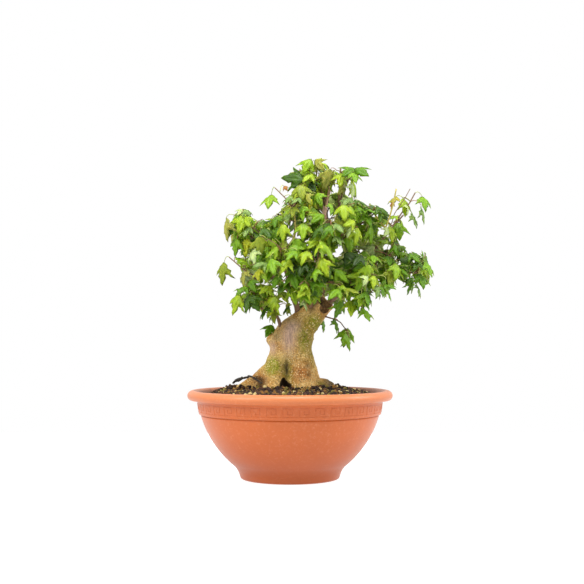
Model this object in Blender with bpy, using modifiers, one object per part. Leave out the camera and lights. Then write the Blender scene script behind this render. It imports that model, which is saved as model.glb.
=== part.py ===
"""A trident maple grown as a bonsai, in a round moulded bowl filled with soil.

The bowl stands on its flat underside at z = 0, centred on the z axis. The view from the front looks along +y.
Sizes are in metres.
"""

import math
import random

import bmesh
import bpy
import numpy as np
from mathutils import Matrix, Vector
from mathutils.bvhtree import BVHTree

# Bowl
RIM_RADIUS = 0.150
BOWL_HEIGHT = 0.128
WALL = 0.003
FLOOR = 0.004
TURN_STEPS = 36
# The bowl's outline, as radius and height: rolled lip, upright band, round wall, short foot
LIP_CENTRE = (RIM_RADIUS - 0.008, BOWL_HEIGHT - 0.0085)
LIP_SIZE = (0.008, 0.0085)
BAND_TOP = (0.1358, 0.1130)
BAND_FOOT = (0.1330, 0.0938)
BOWL_TOP = (0.1302, 0.0915)
BOWL_FOOT = (0.0809, 0.0184)
BOWL_BULGE = 0.0068
FOOT_TOP = (0.0735, 0.0055)
FOOT_BULGE = -0.0009
UNDERSIDE_RADIUS = 0.0700

# Soil: level round the trunk, falling away to the wall
SOIL_LEVEL = 0.1277
SOIL_EDGE = 0.1190
SOIL_LEVEL_RADIUS = 0.088

# Clearance that neighbouring solids keep, and the gap left by a cutter
SEAT = 0.0003
CUT_CLEARANCE = 0.00035

# Trunk: height above the soil, sideways offset, lean to the right in degrees, half width, half depth
GROUND = SOIL_LEVEL + SEAT
TRUNK_STATIONS = (
    (0.000, -0.001, 0, 0.0400, 0.0360),
    (0.022, -0.001, 0, 0.0395, 0.0340),
    (0.044, 0.001, 0, 0.0350, 0.0300),
    (0.060, 0.002, 0, 0.0310, 0.0275),
    (0.074, 0.002, 4, 0.0335, 0.0280),
    (0.090, 0.012, 18, 0.0260, 0.0255),
    (0.101, 0.025, 42, 0.0205, 0.0215),
    (0.119, 0.041, 46, 0.0172, 0.0185),
    (0.133, 0.0545, 46, 0.0153, 0.0165),
)
TRUNK_RINGS = 19
TRUNK_SIDES = 26
# Roots: angle in degrees, reach beyond the trunk, height where each joins, half angle, how blunt it falls
ROOTS = (
    (181, 0.050, 0.042, 17, 1.5),
    (354, 0.029, 0.021, 16, 0.35),
    (2, 0.007, 0.045, 34, 0.8),
    (236, 0.016, 0.034, 20, 0.9),
    (304, 0.017, 0.040, 22, 0.8),
    (50, 0.028, 0.030, 18, 1.2),
    (122, 0.032, 0.034, 17, 1.3),
    (88, 0.010, 0.026, 14, 1.0),
)
# The arch between the two front roots, and the rotted hollow in the sawn top
ARCH_CENTRE = (-0.007, -0.043, GROUND)
ARCH_SIZE = (0.0085, 0.0190, 0.0175)
HOLLOW_CENTRE = (0.054, -0.011, 0.258)
HOLLOW_SIZE = (0.0100, 0.0115, 0.0100)

# Boughs: what carries each, its start there (a point, or a share of the length), tip, two radii, lift
BOUGHS = {
    "bough_leader": ("trunk", (0.032, 0.000, 0.246), (0.052, -0.005, 0.398), 0.0062, 0.0030, 0.004),
    "bough_second_leader": ("trunk", (0.045, 0.009, 0.252), (0.074, 0.002, 0.405), 0.0036, 0.0017, 0.010),
    "bough_left_shoot": ("trunk", (-0.025, -0.008, 0.204), (-0.036, -0.014, 0.246), 0.0025, 0.0019, 0.000),
    "bough_left": ("trunk", (0.013, -0.003, 0.232), (-0.040, -0.006, 0.300), 0.0046, 0.0024, 0.010),
    "bough_right": ("trunk", (0.054, 0.006, 0.250), (0.117, 0.000, 0.314), 0.0054, 0.0028, 0.010),
    "bough_front": ("trunk", (0.030, -0.008, 0.243), (0.036, -0.050, 0.276), 0.0032, 0.0018, 0.008),
    "bough_back": ("trunk", (0.035, 0.012, 0.245), (0.048, 0.058, 0.286), 0.0044, 0.0024, 0.012),
    "bough_low_right": ("trunk", (0.047, -0.004, 0.238), (0.064, -0.016, 0.232), 0.0016, 0.0012, -0.001),
    "bough_yellow_shoot": ("bough_left", 0.42, (0.007, -0.038, 0.360), 0.0021, 0.0015, 0.006),
    "bough_red_shoot": ("bough_right", 0.50, (0.088, -0.042, 0.336), 0.0021, 0.0015, 0.006),
    "bough_top_right": ("bough_right", 0.74, (0.157, 0.004, 0.374), 0.0020, 0.0015, 0.004),
    "bough_far_right": ("bough_right", 0.60, (0.160, 0.010, 0.300), 0.0021, 0.0015, 0.000),
    "bough_front_right": ("bough_right", 0.28, (0.088, -0.036, 0.272), 0.0022, 0.0015, 0.004),
    "bough_back_right": ("bough_back", 0.50, (0.094, 0.050, 0.315), 0.0022, 0.0016, 0.006),
    "bough_back_left": ("bough_back", 0.62, (0.002, 0.050, 0.312), 0.0020, 0.0015, 0.006),
    "bough_upper_back": ("bough_second_leader", 0.50, (0.060, 0.034, 0.362), 0.0018, 0.0014, 0.004),
    "bough_upper_right": ("bough_second_leader", 0.62, (0.092, -0.010, 0.366), 0.0017, 0.0013, 0.003),
    "bough_left_upper": ("bough_left", 0.70, (-0.044, -0.010, 0.334), 0.0019, 0.0014, 0.003),
    "bough_front_left": ("bough_left", 0.26, (-0.004, -0.044, 0.290), 0.0021, 0.0015, 0.004),
}
BOUGH_POINTS = 5
BOUGH_BEVEL_RESOLUTION = 1

# Foliage: the bough whose tip carries it, centre and half sizes of its space, how full it is, its seed
MASSES = {
    "foliage_apex_left": ("bough_leader", (0.026, -0.006, 0.435), (0.052, 0.042, 0.036), 1.0, 11),
    "foliage_apex_right": ("bough_second_leader", (0.087, -0.004, 0.437), (0.036, 0.040, 0.033), 1.1, 12),
    "foliage_upper_left": ("bough_yellow_shoot", (0.004, -0.042, 0.382), (0.046, 0.044, 0.040), 1.1, 73),
    "foliage_upper_front": ("bough_red_shoot", (0.056, -0.070, 0.354), (0.046, 0.042, 0.042), 1.0, 44),
    "foliage_upper_right": ("bough_upper_right", (0.112, -0.026, 0.378), (0.043, 0.048, 0.037), 1.0, 15),
    "foliage_upper_back": ("bough_upper_back", (0.054, 0.054, 0.388), (0.058, 0.048, 0.046), 0.72, 16),
    "foliage_top_right": ("bough_top_right", (0.174, -0.002, 0.392), (0.042, 0.034, 0.036), 0.8, 17),
    "foliage_left_upper": ("bough_left_upper", (-0.067, -0.010, 0.360), (0.042, 0.050, 0.040), 1.0, 18),
    "foliage_left": ("bough_left", (-0.070, 0.000, 0.303), (0.042, 0.052, 0.034), 1.0, 19),
    "foliage_left_low": ("bough_left_shoot", (-0.050, -0.018, 0.260), (0.052, 0.050, 0.030), 1.1, 20),
    "foliage_front_left": ("bough_front_left", (-0.010, -0.074, 0.312), (0.048, 0.044, 0.046), 1.0, 21),
    "foliage_front": ("bough_front", (0.039, -0.086, 0.290), (0.040, 0.042, 0.050), 1.0, 22),
    "foliage_front_right": ("bough_front_right", (0.098, -0.066, 0.277), (0.042, 0.046, 0.050), 1.0, 53),
    "foliage_right": ("bough_right", (0.142, -0.012, 0.311), (0.042, 0.050, 0.048), 1.0, 124),
    "foliage_far_right": ("bough_far_right", (0.184, 0.004, 0.301), (0.034, 0.048, 0.042), 1.0, 25),
    "foliage_back_left": ("bough_back_left", (-0.024, 0.066, 0.329), (0.058, 0.048, 0.050), 0.75, 26),
    "foliage_back_right": ("bough_back_right", (0.118, 0.066, 0.329), (0.058, 0.048, 0.050), 0.75, 177),
    "foliage_back": ("bough_back", (0.047, 0.088, 0.283), (0.054, 0.042, 0.044), 0.72, 28),
    "foliage_low_right": ("bough_low_right", (0.082, -0.022, 0.209), (0.022, 0.022, 0.030), 0.7, 119),
}

# Growth rule: the area of a mass's skin that one twig serves, the reach of twigs and stems as shares of it,
# girths, the places of leaves along a twig, and the gaps that everything keeps
TWIG_AREA = 0.0042
TWIG_REACH = 0.52
TWIG_RISE = 0.22
STEM_REACH = 0.35
STEM_POINTS = 4
TWIG_POINTS = 3
LEAD_IN = 0.002
STEM_TIP_RADIUS = 0.0015
TWIG_RADII = (0.0012, 0.0009)
LEAF_PLACES = (0.38, 0.56, 0.72, 0.86, 0.98)
LEAF_TURN = math.radians(145)
FEWEST_LEAVES = 2
TRIES = 40
SPACE_GAP = 0.03
SPACE_SCALE = 1.07
LIMB_CLEARANCE = 0.0015
TRUNK_CLEARANCE = 0.0030
SHORTEST_TWIG = 0.006
LEAF_SPACING = 0.0060
GOLDEN_ANGLE = math.pi * (3 - math.sqrt(5))
CROWN_CENTRE = Vector((0.050, 0.000, 0.300))

# Leaf: length from its root to its middle tip, and the right half of its outline as shares of that length
LEAF_LENGTH = 0.038
LEAF_SIZES = (0.82, 1.12)
DROOP = (-0.1, 1.5)
SIDE_LOBE = (0.45, 0.60, -0.05)
NOTCH = (0.17, 0.64, 0.0)
TIP = (0.0, 1.0, -0.08)
KEEL = (0.0, 0.34, -0.042)
BLADE_START = 0.09

COLOURS = {
    "bowl": ((0.62, 0.24, 0.11), 0.45),
    "soil": ((0.09, 0.06, 0.045), 0.95),
    "bark": ((0.36, 0.26, 0.14), 0.85),
    "bough_bark": ((0.24, 0.14, 0.09), 0.80),
    "leaf": ((0.14, 0.30, 0.05), 0.55),
}


def clear_scene():
    for obj in list(bpy.data.objects):
        bpy.data.objects.remove(obj)


def new_collection(name, rendered=True):
    group = bpy.data.collections.new(name)
    group.hide_render = not rendered
    bpy.context.scene.collection.children.link(group)
    return group


def material(name):
    found = bpy.data.materials.get(name)
    if found:
        return found
    (red, green, blue), roughness = COLOURS[name]
    made = bpy.data.materials.new(name)
    made.use_nodes = True
    shader = made.node_tree.nodes["Principled BSDF"]
    shader.inputs["Base Color"].default_value = (red, green, blue, 1)
    shader.inputs["Roughness"].default_value = roughness
    shader.inputs["Metallic"].default_value = 0.0
    made.diffuse_color = (red, green, blue, 1)
    return made


def add_object(name, data, group, finish=None):
    obj = bpy.data.objects.new(name, data)
    group.objects.link(obj)
    if finish:
        data.materials.clear()
        data.materials.append(material(finish))
    return obj


def as_cutter(obj):
    obj.hide_render = True
    obj.display_type = "WIRE"
    return obj


def mesh_from(bm, name):
    bmesh.ops.recalc_face_normals(bm, faces=bm.faces)
    data = bpy.data.meshes.new(name)
    bm.to_mesh(data)
    bm.free()
    return data


# Turned pieces


def arc(centre, half_sizes, start, end, steps):
    """Points of an ellipse's arc, from one angle in degrees to another."""
    points = []
    for i in range(steps + 1):
        angle = math.radians(start + (end - start) * i / steps)
        across, up = half_sizes[0] * math.cos(angle), half_sizes[1] * math.sin(angle)
        points.append((centre[0] + across, centre[1] + up))
    return points


def bulged(start, end, bulge, steps):
    """Points of a circle's arc between two points, which stands out by bulge on the right of the way down."""
    a, b = Vector(start), Vector(end)
    half = (b - a).length / 2
    along = (b - a).normalized()
    side = Vector((-along.y, along.x))
    radius = (half * half + bulge * bulge) / (2 * abs(bulge))
    middle = (a + b) / 2 + side * math.copysign(1, bulge) * (abs(bulge) - radius)
    sweep = 2 * math.asin(half / radius) * -math.copysign(1, bulge)
    first = a - middle
    turned = [middle + Matrix.Rotation(sweep * i / steps, 2) @ first for i in range(steps + 1)]
    return [(p.x, p.y) for p in turned]


def turned(name, profile, group, finish):
    """A solid of revolution: a profile in the xz plane with a Screw modifier."""
    data = bpy.data.meshes.new(name)
    corners = [(x, 0, z) for x, z in profile]
    data.from_pydata(corners, [(i, i + 1) for i in range(len(corners) - 1)], [])
    obj = add_object(name, data, group, finish)
    screw = obj.modifiers.new("Turn", "SCREW")
    screw.angle = math.tau
    screw.steps = screw.render_steps = TURN_STEPS
    screw.use_merge_vertices = True
    screw.merge_threshold = 0.00001
    screw.use_smooth_shade = True
    screw.use_normal_calculate = True
    return obj


def inner_wall():
    """The bowl's inside from just under the rim down to the floor's edge."""
    outer = bulged(BOWL_TOP, BOWL_FOOT, BOWL_BULGE, 3)
    upper = [(BAND_TOP[0] - WALL, BAND_TOP[1]), (BAND_FOOT[0] - WALL, BAND_FOOT[1])]
    lower = [(x - WALL * 0.9, z + WALL * 0.45) for x, z in outer[1:]]
    return upper + lower + [(UNDERSIDE_RADIUS - WALL, FLOOR)]


def bowl_profile():
    inside = [(0.0, FLOOR)] + inner_wall()[::-1]
    lip = arc(LIP_CENTRE, LIP_SIZE, 180, -40, 7)
    band = [BAND_TOP, BAND_FOOT]
    wall = bulged(BOWL_TOP, BOWL_FOOT, BOWL_BULGE, 5)
    foot = bulged(BOWL_FOOT, FOOT_TOP, FOOT_BULGE, 2)[1:]
    base = [(0.0722, 0.0012), (UNDERSIDE_RADIUS, 0.0), (0.0, 0.0)]
    return inside + lip + band + wall + foot + base


def soil_profile():
    wall = [(x - 1.4 * SEAT, z) for x, z in inner_wall()[1:-1]]
    top = [
        (0.0, SOIL_LEVEL),
        (SOIL_LEVEL_RADIUS, SOIL_LEVEL),
        (0.112, 0.1245),
        (BAND_TOP[0] - WALL - 0.0012, SOIL_EDGE - 0.0060),
    ]
    bottom = [(UNDERSIDE_RADIUS - WALL - 1.4 * SEAT, FLOOR + SEAT), (0.0, FLOOR + SEAT)]
    return top + wall + bottom


# Trunk


def smooth_stations(count):
    """The trunk's stations, resampled on a smooth curve through them."""
    table = np.array(TRUNK_STATIONS, float)
    knots = np.arange(len(table), dtype=float)
    slopes = np.gradient(table, axis=0)
    rows = []
    for s in np.linspace(0, len(table) - 1, count):
        i = min(int(s), len(table) - 2)
        t = s - knots[i]
        h = (2 * t**3 - 3 * t**2 + 1, t**3 - 2 * t**2 + t, 3 * t**2 - 2 * t**3, t**3 - t**2)
        rows.append(h[0] * table[i] + h[1] * slopes[i] + h[2] * table[i + 1] + h[3] * slopes[i + 1])
    return rows


def root_reach(angle, height):
    """How far the roots stand out of the trunk at that compass angle and height above the soil."""
    out = 0.0
    for degrees, reach, top, spread, blunt in ROOTS:
        if height < top:
            turn = (math.degrees(angle) - degrees + 180) % 360 - 180
            out += reach * (1 - height / top) ** blunt * math.exp(-((turn / spread) ** 2))
    return out


def trunk_point(row, angle, offset):
    height, sideways, lean, half_width, half_depth = row
    oval = 1 / math.hypot(math.cos(angle) / half_width, math.sin(angle) / half_depth)
    radius = oval * (1 + 0.025 * math.cos(3 * angle + 40 * height)) + root_reach(angle, height) + offset
    tilt = math.radians(lean)
    across = radius * math.cos(angle)
    x = sideways + across * math.cos(tilt)
    z = GROUND + height - across * math.sin(tilt)
    return Vector((x, radius * math.sin(angle), z))


def trunk_mesh(name, offset=0.0):
    """A loft up the trunk's unlike sections, with the roots standing out at its foot."""
    bm = bmesh.new()
    rings = []
    rows = smooth_stations(TRUNK_RINGS)
    top_lean = math.radians(rows[-1][2])
    rows[-1] = rows[-1] + np.array([math.cos(top_lean) * offset, math.sin(top_lean) * offset, 0, 0, 0])
    for row in rows:
        angles = [math.tau * k / TRUNK_SIDES for k in range(TRUNK_SIDES)]
        rings.append([bm.verts.new(trunk_point(row, angle, offset)) for angle in angles])
    for low, high in zip(rings, rings[1:]):
        for k in range(TRUNK_SIDES):
            n = (k + 1) % TRUNK_SIDES
            bm.faces.new((low[k], low[n], high[n], high[k]))
    bm.faces.new(rings[0][::-1])
    bm.faces.new(rings[-1])
    bmesh.ops.triangulate(bm, faces=bm.faces)
    return mesh_from(bm, name)


def egg(name, centre, half_sizes, group):
    """An egg-shaped cutter."""
    bm = bmesh.new()
    bmesh.ops.create_uvsphere(bm, u_segments=10, v_segments=7, radius=1.0)
    bmesh.ops.scale(bm, vec=half_sizes, verts=bm.verts)
    obj = add_object(name, mesh_from(bm, name), group)
    obj.location = centre
    return as_cutter(obj)


def cut(obj, cutter):
    difference = obj.modifiers.new("Clear of " + cutter.name, "BOOLEAN")
    difference.operation = "DIFFERENCE"
    difference.object = cutter


def make_trunk(parts, cutters):
    trunk = add_object("trunk", trunk_mesh("trunk"), parts, "bark")
    cut(trunk, egg("root_arch", ARCH_CENTRE, ARCH_SIZE, cutters))
    cut(trunk, egg("sawn_hollow", HOLLOW_CENTRE, HOLLOW_SIZE, cutters))
    as_cutter(add_object("trunk_clearance", trunk_mesh("trunk_clearance", CUT_CLEARANCE), cutters))
    return trunk


# Boughs


def bend(start, control, end, count):
    """Points of a quadratic curve."""
    points = []
    for i in range(count):
        t = i / (count - 1)
        points.append(start * (1 - t) ** 2 + control * 2 * t * (1 - t) + end * t * t)
    return points


def bough_route(name):
    """The bough's points and radii, from inside what carries it to its tip."""
    parent, start, tip, base_radius, tip_radius, lift = BOUGHS[name]
    tip = Vector(tip)
    if parent == "trunk":
        first = Vector(start)
    else:
        path, _ = bough_route(parent)
        place = start * (len(path) - 1)
        i = min(int(place), len(path) - 2)
        first = path[i].lerp(path[i + 1], place - i)
    control = (first + tip) / 2 + Vector((0, 0, lift))
    points = bend(first, control, tip, BOUGH_POINTS)
    steps = len(points) - 1
    radii = [base_radius + (tip_radius - base_radius) * i / steps for i in range(len(points))]
    return points, radii


def tube(name, points, radii, group, finish=None, section=None):
    """A tapering tube: a curve with a bevel, turned into a mesh with its caps welded."""
    path = bpy.data.curves.new(name, "CURVE")
    path.dimensions = "3D"
    path.twist_mode = "MINIMUM"
    path.use_fill_caps = True
    if section:
        path.bevel_mode = "OBJECT"
        path.bevel_object = section
    else:
        path.bevel_depth = 1.0
        path.bevel_resolution = BOUGH_BEVEL_RESOLUTION
    line = path.splines.new("POLY")
    line.points.add(len(points) - 1)
    for knot, place, radius in zip(line.points, points, radii):
        knot.co = (*place, 1)
        knot.radius = radius
    guide = bpy.data.objects.new(name, path)
    group.objects.link(guide)
    graph = bpy.context.evaluated_depsgraph_get()
    data = bpy.data.meshes.new_from_object(guide.evaluated_get(graph))
    bpy.data.objects.remove(guide)
    bpy.data.curves.remove(path)
    bm = bmesh.new()
    bm.from_mesh(data)
    bpy.data.meshes.remove(data)
    bmesh.ops.remove_doubles(bm, verts=bm.verts, dist=0.000005)
    return add_object(name, mesh_from(bm, name), group, finish)


def make_bough(name, parts, cutters):
    points, radii = bough_route(name)
    bough = tube(name, points, radii, parts, "bough_bark")
    parent = BOUGHS[name][0]
    clearance = parent + "_clearance"
    if clearance not in bpy.data.objects:
        path, girth = bough_route(parent)
        as_cutter(tube(clearance, path, [r + CUT_CLEARANCE for r in girth], cutters))
    cut(bough, bpy.data.objects[clearance])
    return bough


# Growth


class Leaf:
    """Where a leaf leaves its twig, the way it points, the way it faces, and its length."""

    def __init__(self, root, along, facing, length):
        self.root, self.along, self.facing, self.length = root, along, facing, length
        self.across = along.cross(facing).normalized()

    def at(self, x, y, z=0.0):
        return self.root + (self.across * x + self.along * y + self.facing * z) * self.length

    def solid(self, start=0.0):
        """A thin blade with three pointed lobes and a wedge-shaped base, keeled along its underside."""
        (side_x, side_y, side_z), (notch_x, notch_y, notch_z) = SIDE_LOBE, NOTCH
        right, left = [SIDE_LOBE, NOTCH], [(-notch_x, notch_y, notch_z), (-side_x, side_y, side_z)]
        corners = [self.at(*place) for place in [(0, start, 0)] + right + [TIP] + left + [KEEL]]
        root, lobe_r, notch_r, tip, notch_l, lobe_l, keel = range(7)
        top = [(root, lobe_r, notch_r), (root, notch_r, notch_l)]
        top += [(root, notch_l, lobe_l), (notch_r, tip, notch_l)]
        rim = (root, lobe_r, notch_r, tip, notch_l, lobe_l, root)
        return corners, top + [(b, a, keel) for a, b in zip(rim, rim[1:])]


def tube_sides(points, radii):
    """The sides of a three-sided tube, as a shape to keep clear of."""
    corners, faces = [], []
    for k, (point, radius) in enumerate(zip(points, radii)):
        heading = points[min(k + 1, len(points) - 1)] - points[max(k - 1, 0)]
        across = heading.orthogonal().normalized() * radius
        corners += [point + Matrix.Rotation(math.tau * n / 3, 3, heading) @ across for n in range(3)]
    for k in range(0, len(corners) - 3, 3):
        for n in range(3):
            m = (n + 1) % 3
            faces += [(k + n, k + m, k + 3 + m), (k + n, k + 3 + m, k + 3 + n)]
    return corners, faces


def tree_of(shapes):
    """A search tree of many shapes together."""
    corners, faces = [], []
    for points, triangles in shapes:
        faces += [tuple(len(corners) + k for k in triangle) for triangle in triangles]
        corners += points
    return BVHTree.FromPolygons(corners, faces)


class Space:
    """What the foliage may fill: each mass's own cell, clear of the trunk, the boughs and the other stems."""

    def __init__(self):
        self.names = list(MASSES)
        self.centres = np.array([MASSES[n][1] for n in self.names])
        self.sizes = np.array([MASSES[n][2] for n in self.names]) * SPACE_SCALE
        rows = smooth_stations(12)
        spine = [(row[1], 0, GROUND + row[0]) for row in rows]
        self.starts = np.array(spine[:-1])
        self.runs = np.diff(spine, axis=0)
        self.girths = np.array([max(row[3], row[4]) for row in rows[:-1]])
        self.limbs = [self.clear_of(*bough_route(name)) for name in BOUGHS]
        self.stems = {name: self.clear_of(*stem_route(name)) for name in MASSES}

    def clear_of(self, path, radii):
        """A limb's sides with its clearance added."""
        return tube_sides(path, [r + LIMB_CLEARANCE for r in radii])

    def within(self, name, points):
        """True if the points are all in this mass's space and nearer to it than to any other mass."""
        offsets = (np.array(points)[:, None] - self.centres) / self.sizes
        far = np.sqrt((offsets**2).sum(2))
        mine = self.names.index(name)
        others = np.delete(far, mine, axis=1).min(1)
        return bool((far[:, mine] <= 1).all() and (far[:, mine] + SPACE_GAP < others).all())

    def off_trunk(self, points):
        """True if the points all keep clear of the trunk."""
        gaps = np.array(points)[:, None] - self.starts
        share = np.clip((gaps * self.runs).sum(2) / (self.runs**2).sum(1), 0, 1)
        away = np.linalg.norm(gaps - share[..., None] * self.runs, axis=2)
        return bool((away > self.girths + TRUNK_CLEARANCE).all())

    def limbs_round(self, name):
        """The boughs and the other masses' stems, which this mass keeps clear of."""
        return tree_of(self.limbs + [stem for other, stem in self.stems.items() if other != name])


def stem_route(name):
    """The stem of a mass: on from its bough's tip, then into the middle of its space."""
    bough, centre, sizes, _, _ = MASSES[name]
    path, radii = bough_route(bough)
    heading = (path[-1] - path[-2]).normalized()
    start = path[-1] + heading * SEAT
    lead = start + heading * LEAD_IN
    centre, sizes = Vector(centre), Vector(sizes)
    away = Vector((centre - lead)[i] / sizes[i] for i in range(3))
    away.normalize()
    end = centre + Vector(away[i] * sizes[i] for i in range(3)) * STEM_REACH
    control = lead + heading * (end - lead).length * 0.4
    points = [start] + bend(lead, control, end, STEM_POINTS)
    steps = len(points) - 1
    girth = [radii[-1] + (STEM_TIP_RADIUS - radii[-1]) * i / steps for i in range(len(points))]
    return points, girth


def twig_targets(name, rng):
    """Points spread evenly round the mass's space, those nearest the stem's foot first."""
    _, centre, sizes, filled, _ = MASSES[name]
    a, b, c = sizes
    area = 4 / 3 * math.pi * (a * b + b * c + c * a)
    count = max(4, round(area * filled / TWIG_AREA))
    found = []
    for i in range(count):
        height = 1 - 2 * (i + 0.5) / count
        turn = GOLDEN_ANGLE * i + rng.uniform(-0.25, 0.25)
        flat = math.sqrt(1 - height * height)
        way = Vector((flat * math.cos(turn) * a, flat * math.sin(turn) * b, height * c))
        way = way * TWIG_REACH * rng.uniform(0.85, 1.15) + Vector((0, 0, TWIG_RISE * c))
        found.append(Vector(centre) + way)
    stem, _ = stem_route(name)
    heading = stem[-1] - stem[0]
    return sorted(found, key=lambda point: (point - stem[0]).dot(heading))


def along_path(points, share):
    """A point on the path at that share of its length, and the path's direction there."""
    place = min(max(share, 0.0), 1.0) * (len(points) - 1)
    i = min(int(place), len(points) - 2)
    return points[i].lerp(points[i + 1], place - i), (points[i + 1] - points[i]).normalized()


def leaf_at(node, heading, turn, size, droop, spread):
    """A leaf that leaves its twig sideways, then hangs outwards and down with its upper side facing out."""
    side = heading.orthogonal().normalized()
    side.rotate(Matrix.Rotation(turn, 3, heading))
    outward = node - CROWN_CENTRE
    outward.z *= 0.6
    outward.normalize()
    along = side + heading * 0.35 + outward * 0.35 + spread * 0.6
    along = (along.normalized() + Vector((0, 0, -droop))).normalized()
    facing = outward + Vector((0, 0, 0.45)) + spread * 0.35
    facing = (facing - along * facing.dot(along)).normalized()
    return Leaf(node - along * TWIG_RADII[1] * 0.4, along, facing, LEAF_LENGTH * size)


def try_leaf(name, space, limbs, own, node, heading, turn, rng, placed):
    """The first of many seeded ways for a leaf to hang that keeps to its space and crosses nothing."""
    draws = [[rng.random() for _ in range(6)] for _ in range(TRIES)]
    others = tree_of([other.solid() for other in placed])
    taken = np.array([tuple(point) for other in placed for point in other.solid()[0][1:]]).reshape(-1, 3)
    for attempt, (swing, grow, drop, x, y, z) in enumerate(draws):
        wider = attempt / TRIES
        size = LEAF_SIZES[0] + (LEAF_SIZES[1] - LEAF_SIZES[0]) * grow * (1 - wider)
        droop = DROOP[0] + (DROOP[1] - DROOP[0]) * drop
        spread = Vector((x - 0.5, y - 0.5, z - 0.5)) * (1.2 + 2.4 * wider)
        leaf = leaf_at(node, heading, turn + (swing - 0.5) * (1.2 + 4.0 * wider), size, droop, spread)
        corners, faces = leaf.solid(BLADE_START)
        if not space.within(name, corners) or not space.off_trunk(corners):
            continue
        if (np.linalg.norm(taken[:, None] - np.array(corners[1:]), axis=2) < LEAF_SPACING).any():
            continue
        shape = tree_of([(corners, faces)])
        if not any(tree.overlap(shape) for tree in (others, own, limbs)):
            return leaf
    return None


def twig_routes(name, space, limbs, stem, rng):
    """The mass's twigs, attached in turn up the stem, without those that leave its space or touch a limb."""
    targets = twig_targets(name, rng)
    routes = []
    for i, target in enumerate(targets):
        start, heading = along_path(stem, 0.25 + 0.70 * i / (len(targets) - 1))
        reach = (target - start).length
        control = start + (heading * 0.5 + (target - start).normalized() * 0.5) * reach * 0.5
        path = bend(start, control, target, TWIG_POINTS)
        steps = len(path) - 1
        girth = [TWIG_RADII[0] + (TWIG_RADII[1] - TWIG_RADII[0]) * k / steps for k in range(len(path))]
        free = space.within(name, path) and space.off_trunk(path)
        if reach > SHORTEST_TWIG and free and not limbs.overlap(tree_of([tube_sides(path, girth)])):
            routes.append((path, girth))
    return routes


def grow(name, space):
    """The stem, the twigs and the leaves of one mass."""
    rng = random.Random(MASSES[name][4])
    stem, stem_girth = stem_route(name)
    limbs = space.limbs_round(name)
    routes = twig_routes(name, space, limbs, stem, rng)
    own = tree_of([tube_sides(path, girth) for path, girth in routes + [(stem, stem_girth)]])
    twigs, leaves = [], []
    for path, girth in routes:
        roll = rng.uniform(0, math.tau)
        grown = []
        for k, share in enumerate(LEAF_PLACES):
            node, way = along_path(path, share)
            leaf = try_leaf(name, space, limbs, own, node, way, roll + k * LEAF_TURN, rng, leaves + grown)
            if leaf:
                grown.append(leaf)
        if len(grown) >= FEWEST_LEAVES:
            twigs.append((path, girth))
            leaves += grown
    node, way = along_path(stem, 0.98)
    for turn in (0, math.tau / 2):
        leaf = try_leaf(name, space, limbs, own, node, way, turn, rng, leaves)
        if leaf:
            leaves.append(leaf)
    return (stem, stem_girth), twigs, leaves


# Foliage solids


def leaf_mesh(leaf, name):
    corners, faces = leaf.solid()
    data = bpy.data.meshes.new(name)
    data.from_pydata(corners, [], faces)
    return data


def largest_shell(data):
    """Keeps a fused mesh's biggest shell: a loose scrap goes, and so does the skin of a sealed hollow."""
    bm = bmesh.new()
    bm.from_mesh(data)
    unseen, shells = set(bm.faces), []
    while unseen:
        shell, front = [], [unseen.pop()]
        while front:
            face = front.pop()
            shell.append(face)
            beside = {other for edge in face.edges for other in edge.link_faces} & unseen
            unseen -= beside
            front += beside
        shells.append(shell)
    shells.sort(key=len)
    for shell in shells[:-1]:
        bmesh.ops.delete(bm, geom=shell, context="FACES")
    bmesh.ops.triangulate(bm, faces=bm.faces)
    bm.to_mesh(data)
    bm.free()


def fuse(name, pieces, group, finish):
    """One Boolean union of a mass's pieces on its stem, applied, with the pieces then removed."""
    stem = bpy.data.objects[name]
    union = stem.modifiers.new("Fuse", "BOOLEAN")
    union.operation = "UNION"
    union.solver = "MANIFOLD"
    union.operand_type = "COLLECTION"
    union.collection = pieces
    graph = bpy.context.evaluated_depsgraph_get()
    fused = bpy.data.meshes.new_from_object(stem.evaluated_get(graph))
    largest_shell(fused)
    bpy.data.objects.remove(stem)
    for obj in list(pieces.objects):
        bpy.data.objects.remove(obj)
    bpy.data.collections.remove(pieces)
    return add_object(name, fused, group, finish)


def twig_section(group):
    """The three-sided section that every twig is drawn along."""
    outline = bpy.data.curves.new("twig_section", "CURVE")
    line = outline.splines.new("POLY")
    line.points.add(2)
    for k, knot in enumerate(line.points):
        knot.co = (math.cos(math.tau * k / 3), math.sin(math.tau * k / 3), 0, 1)
    line.use_cyclic_u = True
    section = bpy.data.objects.new("twig_section", outline)
    group.objects.link(section)
    return as_cutter(section)


def make_mass(name, space, section, parts, cutters):
    (stem, stem_girth), twigs, leaves = grow(name, space)
    tube(name, stem, stem_girth, parts, section=section)
    pieces = new_collection(name + "_pieces", rendered=False)
    for k, (path, girth) in enumerate(twigs):
        tube(f"{name}_twig_{k}", path, girth, pieces, section=section)
    for k, leaf in enumerate(leaves):
        add_object(f"{name}_leaf_{k}", leaf_mesh(leaf, name), pieces)
    return fuse(name, pieces, parts, "leaf")


def main():
    clear_scene()
    parts = new_collection("trident_maple_bonsai")
    cutters = new_collection("cutters", rendered=False)
    turned("bowl", bowl_profile(), parts, "bowl")
    turned("soil", soil_profile(), parts, "soil")
    make_trunk(parts, cutters)
    for name in BOUGHS:
        make_bough(name, parts, cutters)
    space = Space()
    section = twig_section(cutters)
    for name in MASSES:
        make_mass(name, space, section, parts, cutters)
    bpy.data.objects.remove(section)


main()
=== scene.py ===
"""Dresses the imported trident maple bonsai: bowl, granular soil, barked trunk and boughs, twigs and leaves.

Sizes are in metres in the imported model's own frame: z up, the bowl's underside at z = 0, seen along +y.
"""

import functools
import math
import random

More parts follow.
